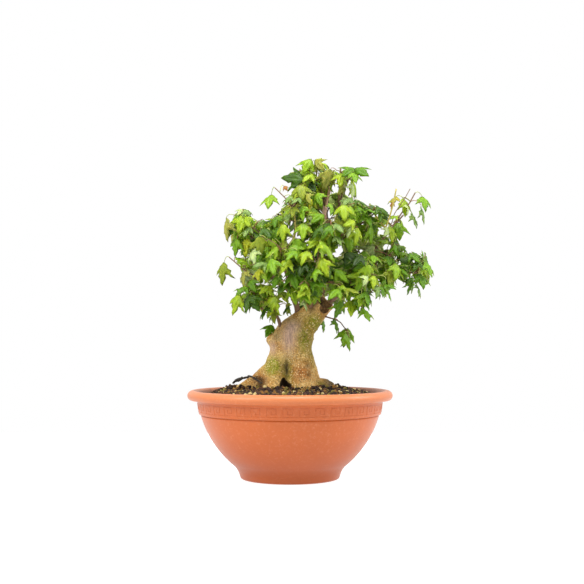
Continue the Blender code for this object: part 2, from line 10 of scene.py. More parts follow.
import bmesh
import bpy
import numpy as np
from bpy.props import FloatProperty, FloatVectorProperty, IntProperty, PointerProperty
from mathutils import Matrix, Vector, noise
from mathutils.bvhtree import BVHTree


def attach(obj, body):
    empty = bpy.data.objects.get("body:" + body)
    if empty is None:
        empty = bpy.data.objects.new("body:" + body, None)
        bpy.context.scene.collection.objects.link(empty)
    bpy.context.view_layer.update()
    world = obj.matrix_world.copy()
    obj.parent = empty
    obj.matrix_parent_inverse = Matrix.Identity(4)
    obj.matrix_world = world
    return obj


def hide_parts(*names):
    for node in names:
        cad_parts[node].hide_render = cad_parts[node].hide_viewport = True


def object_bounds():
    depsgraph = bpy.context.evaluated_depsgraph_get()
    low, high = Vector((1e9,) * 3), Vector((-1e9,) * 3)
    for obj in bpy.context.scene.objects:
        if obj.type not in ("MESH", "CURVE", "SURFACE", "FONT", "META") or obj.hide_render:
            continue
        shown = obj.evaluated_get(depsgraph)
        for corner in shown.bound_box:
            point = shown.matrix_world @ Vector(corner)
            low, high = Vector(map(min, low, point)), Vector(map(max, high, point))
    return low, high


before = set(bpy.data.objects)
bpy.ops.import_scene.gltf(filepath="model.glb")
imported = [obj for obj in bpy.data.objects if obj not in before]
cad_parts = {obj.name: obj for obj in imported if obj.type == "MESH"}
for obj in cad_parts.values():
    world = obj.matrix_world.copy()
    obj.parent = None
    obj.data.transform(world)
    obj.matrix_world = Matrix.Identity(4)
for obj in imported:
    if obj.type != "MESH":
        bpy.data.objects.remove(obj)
CAD_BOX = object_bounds()

bl_info = {
    "name": "Maple bonsai finish",
    "version": (1, 0, 0),
    "blender": (4, 5, 0),
    "location": "3D View > Sidebar > Bonsai",
    "description": "Bark, leaves, soil and a moulded bowl for the packed maple bonsai",
    "category": "Object",
}

# Bowl outline, as radius and height: rolled lip, upright band, round wall, short foot
RIM_RADIUS = 0.150
BOWL_HEIGHT = 0.128
WALL = 0.003
FLOOR = 0.004
LIP_CENTRE = (RIM_RADIUS - 0.008, BOWL_HEIGHT - 0.0075)
LIP_SIZE = (0.008, 0.0075)
BAND_TOP = (0.1358, 0.1130)
BAND_FOOT = (0.1330, 0.0938)
GROOVE = (0.1290, 0.0932)
BOWL_TOP = (0.1302, 0.0915)
BOWL_FOOT = (0.0809, 0.0184)
BOWL_BULGE = 0.0068
FOOT_TOP = (0.0735, 0.0055)
FOOT_BULGE = -0.0009
UNDERSIDE_RADIUS = 0.0700

# The raised key pattern on the band: one repeat's strokes as shares of its width and height
BAND_REPEATS = 38
BAND_MARGIN = 0.0040
BAND_STROKES = (
    ((0.08, 0.0), (0.08, 1.0)),
    ((0.08, 1.0), (0.66, 1.0)),
    ((0.66, 1.0), (0.66, 0.30)),
    ((0.66, 0.30), (0.36, 0.30)),
    ((0.36, 0.30), (0.36, 0.66)),
    ((0.08, 0.0), (0.92, 0.0)),
)

# Soil: level round the trunk, falling away to the wall
SOIL_LEVEL = 0.1277
SOIL_OUTLINE = ((0.0, 0.1277), (0.088, 0.1277), (0.112, 0.1245), (0.1316, 0.1130))
SEAT = 0.0003
# How high the grains are heaped against the trunk, and how far out
MOUND = 0.0060
MOUND_WIDTH = 0.016
SOIL_RINGS = 64
SOIL_STEPS = 180

# Trunk: height above the soil, sideways offset, lean to the right in degrees, half width, half depth
GROUND = SOIL_LEVEL + SEAT
TRUNK_STATIONS = (
    (0.000, -0.001, 0, 0.0400, 0.0360), (0.022, -0.001, 0, 0.0395, 0.0340),
    (0.044, 0.001, 0, 0.0350, 0.0300), (0.060, 0.002, 0, 0.0310, 0.0275),
    (0.074, 0.002, 4, 0.0335, 0.0280), (0.090, 0.012, 18, 0.0260, 0.0255),
    (0.101, 0.025, 42, 0.0205, 0.0215), (0.119, 0.041, 46, 0.0172, 0.0185),
    (0.133, 0.0545, 46, 0.0153, 0.0165),
)
# Roots: angle in degrees, reach beyond the trunk, height where each joins, half angle, how blunt it falls
ROOTS = (
    (181, 0.050, 0.042, 17, 1.5), (354, 0.025, 0.0175, 16, 0.35), (2, 0.007, 0.045, 34, 0.8),
    (236, 0.016, 0.034, 20, 0.9), (304, 0.017, 0.040, 22, 0.8), (50, 0.028, 0.030, 18, 1.2),
    (122, 0.032, 0.034, 17, 1.3), (88, 0.010, 0.026, 14, 1.0),
)
# Hollows carved out of the trunk: centre, half sizes, the way that the wood is pushed
ARCH_HOLLOWS = (
    ((-0.0090, -0.0430, GROUND), (0.0062, 0.0190, 0.0215), (0, 1, 0)),
    ((-0.0062, -0.0430, GROUND), (0.0070, 0.0190, 0.0180), (0, 1, 0)),
    ((-0.0030, -0.0430, GROUND), (0.0075, 0.0190, 0.0135), (0, 1, 0)),
)
ROTTED_HOLLOWS = (
    ((0.0525, -0.0110, 0.2585), (0.0120, 0.0125, 0.0112), (-0.43, 0.55, -0.69)),
    ((0.0530, -0.0180, 0.2470), (0.0100, 0.0115, 0.0078), (-0.15, 1.0, 0.10)),
)
# Forms on the trunk: place, reach each way, how far each stands out
TRUNK_FORMS = {
    "knob": ((-0.033, -0.006, 0.202), (0.008, 0.014, 0.008), 0.0022),
    "scar": ((-0.002, -0.029, 0.203), (0.010, 0.014, 0.017), -0.0012),
    "crease": ((-0.004, -0.036, 0.160), (0.0022, 0.016, 0.018), -0.0026),
    "scar_streak": ((-0.003, -0.029, 0.197), (0.0014, 0.012, 0.014), -0.0012),
    "shoulder": ((0.024, -0.024, 0.222), (0.014, 0.014, 0.010), 0.0014),
    "right_flute": ((0.016, -0.033, 0.156), (0.0035, 0.014, 0.016), -0.0016),
    "left_flute": ((-0.028, -0.026, 0.158), (0.0035, 0.014, 0.016), -0.0015),
    "root_knot": ((0.026, -0.031, 0.151), (0.004, 0.010, 0.004), -0.0016),
    "left_gap": ((-0.050, -0.016, 0.1445), (0.007, 0.030, 0.0038), -0.0040),
    "left_gap_foot": ((-0.042, -0.022, 0.1390), (0.005, 0.030, 0.0065), -0.0050),
    "right_lump": ((0.050, -0.022, 0.1420), (0.004, 0.010, 0.0030), 0.0018),
    "right_dip": ((0.058, -0.018, 0.1400), (0.003, 0.010, 0.0050), -0.0022),
    "wood_chunk": ((0.0625, -0.014, 0.258), (0.005, 0.010, 0.004), 0.0030),
    "lower_rim": ((0.058, -0.010, 0.238), (0.012, 0.014, 0.004), 0.0012),
}
# How far the bark's muscles, swellings, grit and crumbs stand out, and how deep its cracks are
MUSCLE, SWELL, GRIT, CRUMB, CRACK = 0.0017, 0.0010, 0.0006, 0.0002, 0.0004
# The trunk's lowest rings, under the soil, and its sawn top: rings, how far it is sunk, its rotten crumbs
BURIED_HEIGHTS = (-0.006, -0.004, -0.002)
CAP_RINGS = 26
CAP_SUNK = 0.006
ROT_CRUMBS = 0.0012
# Forms painted dark as shade, and how dark
SHADED_FORMS = {"crease": 0.6, "root_knot": 0.6, "left_gap": 0.85, "left_gap_foot": 0.9}

DEAD_ROOT = (
    (-0.0820, -0.020, 0.1405), (-0.0720, -0.022, 0.1452), (-0.0580, -0.025, 0.1490),
    (-0.0400, -0.034, 0.1400),
)
DEAD_ROOT_RADIUS = 0.0027
DEAD_ROOT_KINK = 0.0028
DEAD_ROOT_STEPS = 40
# Stains on the trunk: place, reach each way, how strong; the 'dark' ones are painted shade
STAINS = {
    "moss": (
        ((0.021, -0.030, 0.204), (0.010, 0.030, 0.020), 1.1),
        ((0.036, -0.022, 0.228), (0.012, 0.030, 0.010), 1.0),
        ((0.043, -0.016, 0.218), (0.007, 0.030, 0.008), 0.8),
        ((0.034, -0.018, 0.186), (0.006, 0.030, 0.020), 0.7),
        ((-0.026, -0.030, 0.164), (0.010, 0.030, 0.012), 1.9),
        ((-0.004, -0.040, 0.158), (0.008, 0.030, 0.018), 0.9),
        ((0.046, -0.020, 0.136), (0.006, 0.040, 0.005), 0.8),
        ((-0.020, 0.030, 0.170), (0.030, 0.030, 0.030), 0.7),
        ((0.030, 0.030, 0.200), (0.030, 0.030, 0.030), 0.6),
    ),
    "scar": (
        ((-0.002, -0.030, 0.204), (0.010, 0.020, 0.020), 0.95),
        ((0.004, -0.028, 0.222), (0.012, 0.020, 0.010), 0.6),
        ((-0.026, -0.020, 0.190), (0.006, 0.030, 0.010), 0.7),
        ((0.0625, -0.014, 0.258), (0.008, 0.014, 0.005), 1.2),
    ),
    "redder": (
        ((0.014, -0.034, 0.155), (0.018, 0.030, 0.015), 0.8),
        ((0.054, -0.012, 0.240), (0.016, 0.020, 0.012), 0.5),
        ((-0.042, -0.020, 0.146), (0.020, 0.030, 0.012), 0.7),
    ),
    # Painted shade: the crook under the boughs, the right root, the crease and other shaded places
    "dark": (
        ((0.031, -0.018, 0.250), (0.006, 0.030, 0.010), 0.8),
        ((0.037, -0.012, 0.260), (0.008, 0.030, 0.007), 0.9),
        ((0.024, -0.030, 0.205), (0.009, 0.030, 0.016), 0.22),
        ((0.060, -0.010, 0.138), (0.015, 0.040, 0.012), 0.85),
        ((-0.008, -0.040, 0.162), (0.008, 0.030, 0.013), 0.55),
        ((0.026, -0.030, 0.165), (0.003, 0.020, 0.004), 0.5),
        ((-0.020, -0.024, 0.206), (0.006, 0.030, 0.006), 0.6),
        ((0.034, -0.018, 0.186), (0.005, 0.030, 0.020), 0.25),
    ),
}

# Boughs: what carries each, its start there (a point, or a share of the length), tip, two radii, lift
BOUGHS = {
    "bough_leader": ("trunk", (0.032, 0.000, 0.246), (0.052, -0.005, 0.398), 0.0062, 0.0030, 0.004),
    "bough_second_leader": ("trunk", (0.045, 0.009, 0.252), (0.074, 0.002, 0.405), 0.0036, 0.0017, 0.010),
    "bough_left_shoot": ("trunk", (-0.014, -0.010, 0.219), (-0.036, -0.014, 0.246), 0.0025, 0.0019, 0.0),
    "bough_left": ("trunk", (0.013, -0.003, 0.232), (-0.040, -0.006, 0.300), 0.0046, 0.0024, 0.010),
    "bough_right": ("trunk", (0.054, 0.006, 0.250), (0.117, 0.000, 0.314), 0.0054, 0.0028, 0.010),
    "bough_front": ("trunk", (0.030, -0.008, 0.243), (0.036, -0.050, 0.276), 0.0032, 0.0018, 0.008),
    "bough_back": ("trunk", (0.035, 0.012, 0.245), (0.048, 0.058, 0.286), 0.0044, 0.0024, 0.012),
    "bough_low_right": ("trunk", (0.047, -0.004, 0.238), (0.064, -0.016, 0.232), 0.0013, 0.0009, -0.001),
    "bough_yellow_shoot": ("bough_left", 0.42, (0.007, -0.038, 0.360), 0.0021, 0.0015, 0.006),
    "bough_red_shoot": ("bough_right", 0.50, (0.088, -0.042, 0.336), 0.0021, 0.0015, 0.006),
    "bough_top_right": ("bough_right", 0.74, (0.157, 0.004, 0.374), 0.0020, 0.0015, 0.004),
    "bough_far_right": ("bough_right", 0.60, (0.160, 0.010, 0.300), 0.0021, 0.0015, 0.000),
    "bough_front_right": ("bough_right", 0.28, (0.088, -0.036, 0.272), 0.0022, 0.0015, 0.004),
    "bough_back_right": ("bough_back", 0.50, (0.094, 0.050, 0.315), 0.0022, 0.0016, 0.006),
    "bough_back_left": ("bough_back", 0.62, (0.002, 0.050, 0.312), 0.0020, 0.0015, 0.006),
    "bough_upper_back": ("bough_second_leader", 0.50, (0.060, 0.034, 0.362), 0.0018, 0.0014, 0.004),
    "bough_upper_right": ("bough_second_leader", 0.62, (0.092, -0.010, 0.366), 0.0017, 0.0013, 0.003),
    "bough_left_upper": ("bough_left", 0.70, (-0.044, -0.010, 0.334), 0.0019, 0.0014, 0.003),
    "bough_front_left": ("bough_left", 0.26, (-0.004, -0.044, 0.290), 0.0021, 0.0015, 0.004),
}
BOUGH_POINTS = 5
# Where the photograph shows a bough rise before it bends, the middle that it bends round
BOUGH_BENDS = {"bough_left": (0.010, -0.004, 0.281), "bough_left_shoot": (-0.0185, -0.011, 0.249)}
# Boughs whose bark is not brown: its name, colour, the colour of its streaks and how dull it is
YOUNG_SHOOTS = {
    "bough_yellow_shoot": ("shoot_yellow_bark", "#b3a24a", "#9a9340", 0.55),
    "bough_red_shoot": ("shoot_red_bark", "#b4703f", "#8e5230", 0.55),
    # The leader's pale pinkish tan is partly painted light, made paler so that it reads as lit
    "bough_leader": ("leader_bark", "#e9c4a8", "#c1957a", 0.70),
}
BOUGH_SIDES = 20
BUD_RING = 0.16

# Foliage: the bough whose tip carries it, centre and half sizes of its space, how full it is, its seed, and
# how light it is, from 0 for deep green to 1 for lime; partly painted light and shade: lighter at the top,
# darker in the middle and at the back
MASSES = {
    "foliage_apex_left": ("bough_leader", (0.026, -0.006, 0.435), (0.052, 0.042, 0.036), 1.0, 11, 0.66),
    "foliage_apex_right": (
        "bough_second_leader", (0.087, -0.004, 0.437), (0.036, 0.040, 0.033), 1.1, 12, 0.66
    ),
    "foliage_upper_left": (
        "bough_yellow_shoot", (0.004, -0.042, 0.382), (0.046, 0.044, 0.040), 1.1, 73, 0.60
    ),
    "foliage_upper_front": (
        "bough_red_shoot", (0.056, -0.070, 0.354), (0.046, 0.042, 0.042), 1.0, 44, 0.52
    ),
    "foliage_upper_right": (
        "bough_upper_right", (0.112, -0.026, 0.378), (0.043, 0.048, 0.037), 1.0, 15, 0.44
    ),
    "foliage_upper_back": (
        "bough_upper_back", (0.054, 0.054, 0.388), (0.058, 0.048, 0.046), 0.72, 16, 0.36
    ),
    "foliage_top_right": (
        "bough_top_right", (0.174, -0.002, 0.392), (0.042, 0.034, 0.036), 0.8, 17, 0.55
    ),
    "foliage_left_upper": (
        "bough_left_upper", (-0.067, -0.010, 0.360), (0.042, 0.050, 0.040), 1.0, 18, 0.60
    ),
    "foliage_left": ("bough_left", (-0.070, 0.000, 0.303), (0.042, 0.052, 0.034), 1.0, 19, 0.56),
    "foliage_left_low": (
        "bough_left_shoot", (-0.050, -0.018, 0.260), (0.052, 0.050, 0.030), 1.1, 20, 0.58
    ),
    "foliage_front_left": (
        "bough_front_left", (-0.010, -0.074, 0.312), (0.048, 0.044, 0.046), 1.0, 21, 0.50
    ),
    "foliage_front": ("bough_front", (0.039, -0.086, 0.290), (0.040, 0.042, 0.050), 1.0, 22, 0.34),
    "foliage_front_right": (
        "bough_front_right", (0.098, -0.066, 0.277), (0.042, 0.046, 0.050), 1.0, 53, 0.42
    ),
    "foliage_right": ("bough_right", (0.142, -0.012, 0.311), (0.042, 0.050, 0.048), 1.0, 124, 0.44),
    "foliage_far_right": ("bough_far_right", (0.184, 0.004, 0.301), (0.034, 0.048, 0.042), 1.0, 25, 0.44),
    "foliage_back_left": (
        "bough_back_left", (-0.024, 0.066, 0.329), (0.058, 0.048, 0.050), 0.75, 26, 0.42
    ),
    "foliage_back_right": (
        "bough_back_right", (0.118, 0.066, 0.329), (0.058, 0.048, 0.050), 0.75, 177, 0.40
    ),
    "foliage_back": ("bough_back", (0.047, 0.088, 0.283), (0.054, 0.042, 0.044), 0.72, 28, 0.34),
    "foliage_low_right": (
        "bough_low_right", (0.082, -0.022, 0.209), (0.022, 0.022, 0.030), 0.7, 119, 0.45
    ),
}

# Growth rule of the twigs, as in the solids, then the shoots, leaf stalks and leaves that go on from them
TWIG_AREA = 0.0042
TWIG_REACH = 0.52
TWIG_RISE = 0.22
STEM_REACH = 0.35
STEM_POINTS = 4
TWIG_POINTS = 3
LEAD_IN = 0.002
STEM_TIP_RADIUS = 0.0015
STEM_SWELL = 0.75
TWIG_RADII = (0.0012, 0.0009)
SPACE_GAP = 0.03
SPACE_SCALE = 1.07
LEAF_SPACE = 1.13
LIMB_CLEARANCE = 0.0015
TRUNK_CLEARANCE = 0.0030
SHORTEST_TWIG = 0.006
# Where a twig or stem may end if it would leave the outline, as shares of its length
TWIG_ENDS = (1.0, 0.85, 0.7, 0.55, 0.4)
STEM_ENDS = (1.0, 0.9, 0.8, 0.7)
SHORTEST_STEM = 0.6
GOLDEN_ANGLE = math.pi * (3 - math.sqrt(5))
CROWN_CENTRE = Vector((0.050, 0.000, 0.300))
SHOOT_POINTS = 6
SHOOT_LENGTH = (0.012, 0.022)
SHOOT_RADII = (0.0008, 0.0005)
SHOOT_PLACES = (0.45, 0.78)
BUD_PLACES = (0.32, 0.56, 0.80, 1.0)
WOOD_PLACES = (0.2, 0.4, 0.6, 0.8, 1.0)
SHOOT_BUDS = (0.6, 1.0)
STEM_BUDS = (0.55, 0.98)
STALK_LENGTH = (0.006, 0.016)
STALK_RADII = (0.00055, 0.00040)
TRIES = 14
BOX_MARGIN = 0.008
# How many leaves more than the shown ones a thin mass bears
LEAF_LIMITS = {"foliage_low_right": 1, "foliage_far_right": 24}

# Right half of a leaf's upper side, as shares of its length: across, along, how far it stands out
LEAF_CORNERS = (
    (0.00, 0.00, 0.00), (0.00, 0.20, -0.03), (0.00, 0.40, -0.04), (0.00, 0.60, -0.04),
    (0.00, 0.84, -0.02), (0.00, 1.12, 0.00), (0.10, 0.03, 0.01), (0.21, 0.11, -0.02), (0.28, 0.24, 0.04),
    (0.42, 0.32, -0.03), (0.44, 0.48, 0.04), (0.60, 0.74, -0.05), (0.43, 0.65, 0.03), (0.32, 0.57, -0.02),
    (0.20, 0.56, 0.03), (0.25, 0.70, 0.05), (0.16, 0.81, -0.02), (0.10, 0.97, 0.03), (0.11, 0.17, -0.01),
    (0.24, 0.35, -0.04), (0.37, 0.53, -0.04), (0.11, 0.38, 0.05), (0.11, 0.62, 0.05), (0.07, 0.84, 0.03),
)
LEAF_FACES = (
    (0, 6, 18), (6, 7, 18), (7, 8, 18), (8, 19, 18), (8, 9, 19), (9, 20, 19), (9, 10, 20), (10, 11, 20),
    (0, 18, 1), (18, 21, 1), (18, 19, 21), (1, 21, 2), (19, 20, 13), (19, 13, 14), (19, 14, 21),
    (20, 12, 13), (20, 11, 12), (21, 14, 22), (2, 21, 22), (2, 22, 3), (14, 15, 22), (15, 16, 22),
    (16, 23, 22), (3, 22, 23), (3, 23, 4), (16, 17, 23), (17, 5, 23), (4, 23, 5),
)
MIDRIB = 6
MARGIN = (0, 5, 6, 7, 8, 9, 10, 11, 12, 13, 14, 15, 16, 17)
BLADE_THICKNESS = 0.011
BLADE_LENGTH = 1.12
# Least and most fold, curl, twist, droop, width and sweep of the side lobes
LEAF_SHAPES = ((-0.05, 0.40), (-0.3, 0.8), (-0.6, 0.6), (-0.1, 1.0), (0.90, 1.15), (-0.12, 0.24))

# The photograph's geometry: metres across a pixel at the bowl's axis, and where the eye is
PIXEL = 0.001475
AXIS_COLUMN = 290
EYE_ROW = 342
EYE_HEIGHT = 0.1984
EYE_DISTANCE = 1.438
PICTURE_SIDE = 584
# A leaf within this many pixels of a shown one hides it; farther apart than the others, none are compared
HIDING_PIXELS = 1.9
NEIGHBOUR_PIXELS = 40
NEIGHBOUR_LEAVES = 0.036
# How deep shoots and the thick ones at the top stand, and the depths that are tried for a shown leaf
SHOOT_GAP = 0.008
THICK_SHOOT = 0.0014
THICK_SHOOT_DEPTH = -0.005
DEPTHS = 22
FRONT_GAP = 0.004
DEPTH_STEP = 0.002
MOST_LEAN = 0.75
# Length of a shown leaf, its longest stalk, and the side shoot that carries a leaf farther out
SHOWN_LENGTH = (0.025, 0.030)
LONGEST_STALK = 0.020
CARRIED_STALK = 0.011

# The crown's outline in the photograph's pixels, clockwise from the top leaf
CROWN_OUTLINE = (
    (299, 168), (305, 158), (322, 160), (330, 166), (340, 170), (347, 169), (352, 165), (363, 166),
    (368, 174), (359, 180), (357, 198), (373, 203), (391, 211), (400, 214), (406, 222), (405, 233),
    (399, 242), (411, 248), (420, 254), (424, 249), (428, 257), (435, 265), (434, 277), (428, 287),
    (418, 287), (410, 297), (408, 285), (398, 281), (396, 300), (388, 294), (379, 299), (372, 304),
    (372, 320), (362, 311), (354, 317), (343, 314), (338, 321), (337, 307), (328, 301), (306, 314),
    (298, 312), (293, 304), (284, 303), (278, 312), (270, 323), (264, 319), (261, 309), (255, 313),
    (249, 304), (243, 313), (239, 304), (230, 317), (225, 300), (237, 293), (241, 284), (239, 268),
    (230, 263), (230, 256), (227, 246), (232, 237), (224, 235), (225, 226), (231, 222), (231, 213),
    (237, 207), (247, 207), (253, 221), (261, 217), (270, 220), (272, 215), (284, 208), (281, 203),
    (286, 196), (292, 192), (297, 182), (288, 180), (281, 173), (295, 168), (303, 176),
)
LOW_OUTLINE = ((318, 306), (345, 306), (357, 330), (357, 353), (342, 353), (324, 333), (314, 322))
# Sky that shows through the crown: column, row, half width, half height
SKY_GAPS = (
    (290, 240, 4, 3), (283, 272, 3, 5), (327, 213, 2.5, 9), (358, 251, 4, 2), (341, 252, 2, 4),
    (333, 217, 4, 4), (386, 247, 4, 3), (378, 264, 3, 1.5), (379, 282, 2, 4), (393, 257, 2, 2),
    (290, 307, 7, 6), (317, 174, 3, 4), (334, 187, 3, 4), (347, 190, 4, 5), (395, 207, 4, 6),
    (376, 214, 4, 3), (380, 231, 3, 3), (388, 236, 3, 1.5), (398, 262, 4, 1.5), (406, 252, 3, 1.5),
    (414, 275, 2, 2), (424, 266, 2, 2), (305, 219, 3, 2), (314, 232, 3, 1.5), (298, 230, 1.5, 3),
    (292, 223, 1, 3), (305, 237, 2, 1.5), (311, 208, 1.5, 1.5), (252, 231, 2, 1.5), (239, 251, 3, 3),
    (245, 292, 3, 1.5), (246, 257, 1.5, 2), (372, 293, 2, 3), (381, 291, 1.5, 2),
)
# The leaves that the photograph shows, nearest first: stalk end, tip, how wide each looks, colour
SHOWN_LEAVES = (
    (311, 157, 303, 171, 1.1, "fresh"), (315, 158, 321, 170, 0.6, "olive"),
    (319, 161, 329, 167, 0.5, "green"), (304, 179, 281, 173, 1.1, "dark"),
    (312, 171, 302, 181, 0.9, "lime"), (300, 183, 303, 197, 1.2, "moss"),
    (310, 181, 315, 192, 0.8, "deep"), (331, 168, 325, 192, 0.8, "olive"),
    (334, 170, 335, 189, 0.7, "lime"), (329, 169, 320, 174, 0.9, "moss"),
    (343, 171, 341, 186, 0.9, "lime"), (346, 181, 343, 194, 0.5, "olive"),
    (355, 166, 344, 173, 1.1, "green"), (356, 166, 368, 174, 1.1, "green"),
    (354, 170, 357, 182, 0.9, "mid"), (354, 183, 354, 199, 0.4, "pale"),
    (352, 196, 342, 204, 0.9, "grey"), (356, 198, 370, 203, 0.4, "dark"),
    (359, 200, 369, 206, 0.3, "pale"), (357, 203, 372, 214, 0.7, "green"),
    (344, 203, 345, 219, 1.1, "lime"), (352, 205, 353, 216, 0.8, "fresh"),
    (333, 203, 333, 215, 0.5, "mid"), (316, 192, 320, 206, 0.8, "mid"),
    (306, 193, 309, 204, 0.6, "olive"), (271, 193, 267, 208, 0.9, "fresh"),
    (284, 185, 288, 190, 1.2, "bronze"), (288, 202, 281, 206, 0.6, "green"),
    (290, 194, 285, 202, 0.8, "grey"), (300, 196, 291, 202, 0.8, "grey"),
    (243, 208, 237, 214, 1.0, "pale"), (244, 208, 251, 214, 0.9, "grey"),
    (243, 214, 238, 231, 1.2, "lime"), (244, 216, 249, 227, 0.8, "lime"),
    (226, 217, 221, 241, 0.5, "olive"), (236, 222, 226, 234, 0.8, "dark"),
    (237, 238, 231, 256, 0.9, "mid"), (246, 238, 243, 255, 0.9, "yellow"),
    (260, 236, 261, 256, 1.1, "moss"), (254, 248, 251, 262, 0.7, "pale"),
    (283, 223, 281, 242, 0.9, "lime"), (261, 219, 256, 226, 0.7, "grey"),
    (270, 219, 262, 223, 0.5, "dark"), (276, 215, 273, 227, 0.7, "green"),
    (249, 226, 243, 236, 0.8, "grey"), (235, 257, 254, 264, 0.7, "fresh"),
    (262, 227, 272, 236, 0.9, "dark"), (224, 262, 218, 285, 0.75, "moss"),
    (245, 268, 239, 285, 0.6, "olive"), (247, 269, 252, 286, 0.8, "pale"),
    (259, 268, 256, 279, 0.7, "yellow"), (260, 268, 266, 281, 0.9, "fresh"),
    (268, 262, 254, 262, 0.7, "grey"), (270, 258, 274, 275, 0.9, "mid"),
    (249, 280, 254, 291, 0.9, "green"), (247, 286, 236, 293, 0.8, "green"),
    (240, 295, 230, 315, 0.95, "lime"), (249, 294, 243, 312, 0.7, "dark"),
    (250, 295, 257, 311, 0.8, "dark"), (262, 299, 258, 305, 0.7, "olive"),
    (272, 285, 259, 292, 0.9, "lime"), (268, 285, 271, 295, 0.8, "fresh"),
    (276, 296, 265, 318, 0.9, "lime"), (270, 296, 280, 305, 0.8, "fresh"),
    (266, 306, 259, 317, 0.4, "dark"), (273, 311, 272, 322, 0.7, "moss"),
    (272, 325, 266, 336, 1.0, "green"), (304, 222, 303, 240, 1.0, "fresh"),
    (294, 205, 291, 215, 0.9, "moss"), (301, 205, 302, 221, 0.7, "mid"),
    (290, 212, 285, 221, 0.8, "grey"), (322, 224, 310, 236, 0.7, "dark"),
    (331, 224, 320, 236, 0.8, "green"), (333, 230, 327, 235, 0.8, "yellow"),
    (319, 240, 308, 245, 0.9, "lime"), (321, 240, 338, 262, 0.8, "fresh"),
    (319, 244, 313, 255, 0.5, "lime"), (336, 222, 344, 232, 0.9, "grey"),
    (356, 220, 345, 224, 1.1, "lime"), (351, 226, 345, 235, 0.6, "pale"),
    (358, 227, 358, 246, 0.8, "lime"), (336, 235, 343, 244, 0.8, "grey"),
    (297, 250, 286, 257, 0.9, "mid"), (308, 250, 300, 262, 0.9, "lime"),
    (290, 258, 279, 270, 0.9, "lime"), (321, 258, 326, 276, 0.8, "lime"),
    (316, 268, 312, 279, 0.7, "mid"), (292, 272, 297, 286, 1.1, "green"),
    (306, 283, 300, 290, 0.9, "fresh"), (291, 286, 299, 304, 0.8, "fresh"),
    (309, 286, 297, 295, 0.9, "lime"), (302, 293, 312, 301, 0.8, "mid"),
    (280, 290, 289, 299, 0.9, "moss"), (304, 301, 309, 309, 0.5, "pale"),
    (299, 304, 304, 315, 1.0, "dark"), (286, 304, 290, 315, 0.5, "moss"),
    (288, 306, 282, 313, 0.5, "dark"), (340, 288, 328, 297, 0.9, "mid"),
    (343, 300, 338, 320, 0.6, "green"), (339, 301, 337, 312, 0.4, "pale"),
    (351, 300, 352, 316, 0.9, "lime"), (357, 299, 360, 314, 0.4, "green"),
    (362, 294, 361, 306, 0.8, "fresh"), (363, 307, 371, 320, 0.7, "mid"),
    (367, 291, 370, 305, 0.8, "green"), (345, 287, 359, 291, 0.7, "moss"),
    (343, 284, 336, 292, 0.8, "fresh"), (335, 319, 338, 333, 0.6, "green"),
    (324, 321, 325, 331, 0.6, "green"), (345, 333, 354, 350, 0.7, "mid"),
    (371, 226, 374, 245, 0.8, "mid"), (400, 244, 411, 251, 0.4, "dark"),
    (411, 252, 420, 261, 0.8, "green"), (424, 258, 424, 250, 0.5, "green"),
    (427, 261, 433, 277, 0.8, "mid"), (420, 260, 412, 268, 0.8, "dark"),
    (421, 273, 426, 286, 0.8, "green"), (419, 274, 416, 284, 0.7, "mid"),
    (413, 277, 409, 296, 0.5, "green"), (412, 277, 404, 282, 0.6, "dark"),
    (418, 284, 423, 295, 0.2, "grey"), (385, 284, 396, 288, 0.7, "green"),
    (384, 285, 395, 300, 0.6, "mid"), (386, 279, 380, 285, 0.7, "dark"),
    (380, 286, 379, 298, 0.6, "grey"), (383, 286, 384, 297, 0.6, "green"),
    (392, 270, 391, 284, 0.7, "moss"), (398, 263, 397, 280, 0.8, "fresh"),
    (375, 275, 375, 287, 0.9, "lime"), (369, 276, 365, 286, 0.7, "pale"),
    (400, 266, 409, 274, 0.7, "green"), (397, 195, 391, 204, 0.8, "ochre"),
    (394, 201, 390, 208, 0.7, "bronze"), (404, 197, 408, 216, 0.8, "lime"),
    (409, 204, 411, 214, 0.4, "pale"), (413, 212, 419, 228, 0.6, "grey"),
    (424, 195, 428, 208, 0.9, "mid"), (422, 205, 428, 224, 0.4, "grey"),
    (398, 215, 390, 218, 0.8, "fresh"), (399, 221, 400, 237, 1.0, "mid"),
    (391, 225, 395, 243, 0.7, "lime"), (389, 227, 387, 236, 0.6, "pale"),
    (378, 204, 391, 212, 0.6, "dark"), (380, 208, 384, 220, 0.6, "green"),
    (366, 206, 377, 213, 0.7, "green"), (366, 212, 374, 223, 0.8, "green"),
    (279, 274, 272, 287, 0.9, "green"), (288, 281, 277, 291, 0.8, "dark"),
    (346, 252, 357, 263, 1.0, "deep"), (362, 254, 352, 266, 0.9, "deep"),
    (286, 260, 296, 271, 0.9, "deep"), (305, 262, 297, 272, 0.8, "deep"),
)
# The bare shoots that it shows: places along each, radius in metres, bark
SHOWN_SHOOTS = (
    (((275, 187), (281, 193), (286, 198), (292, 207)), 0.0008, "brown"),
    (((241, 215), (249, 224), (256, 229), (264, 238)), 0.0008, "brown"),
    (((229, 257), (236, 263), (243, 269), (256, 277)), 0.0009, "brown"),
    (((397, 188), (394, 203), (390, 217), (386, 228)), 0.0011, "yellow"),
    (((416, 192), (410, 203), (404, 210), (393, 226)), 0.0010, "brown"),
    (((411, 188), (406, 197), (395, 213), (392, 224)), 0.0006, "brown"),
    (((341, 167), (340, 185), (339, 203)), 0.0015, "brown"),
    (((332, 176), (330, 188), (327.5, 199), (325.5, 206)), 0.0024, "pale"),
    (((294, 207), (295, 219), (296, 231)), 0.0013, "yellow"),
    (((278, 281), (288, 281), (300, 285)), 0.0008, "pale"),
)


# Colours


def linear(code):
    """A linear colour from its sRGB hex code."""
    parts = [int(code[i : i + 2], 16) / 255 for i in (1, 3, 5)]
    return tuple(c / 12.92 if c <= 0.04045 else ((c + 0.055) / 1.055) ** 2.4 for c in parts)


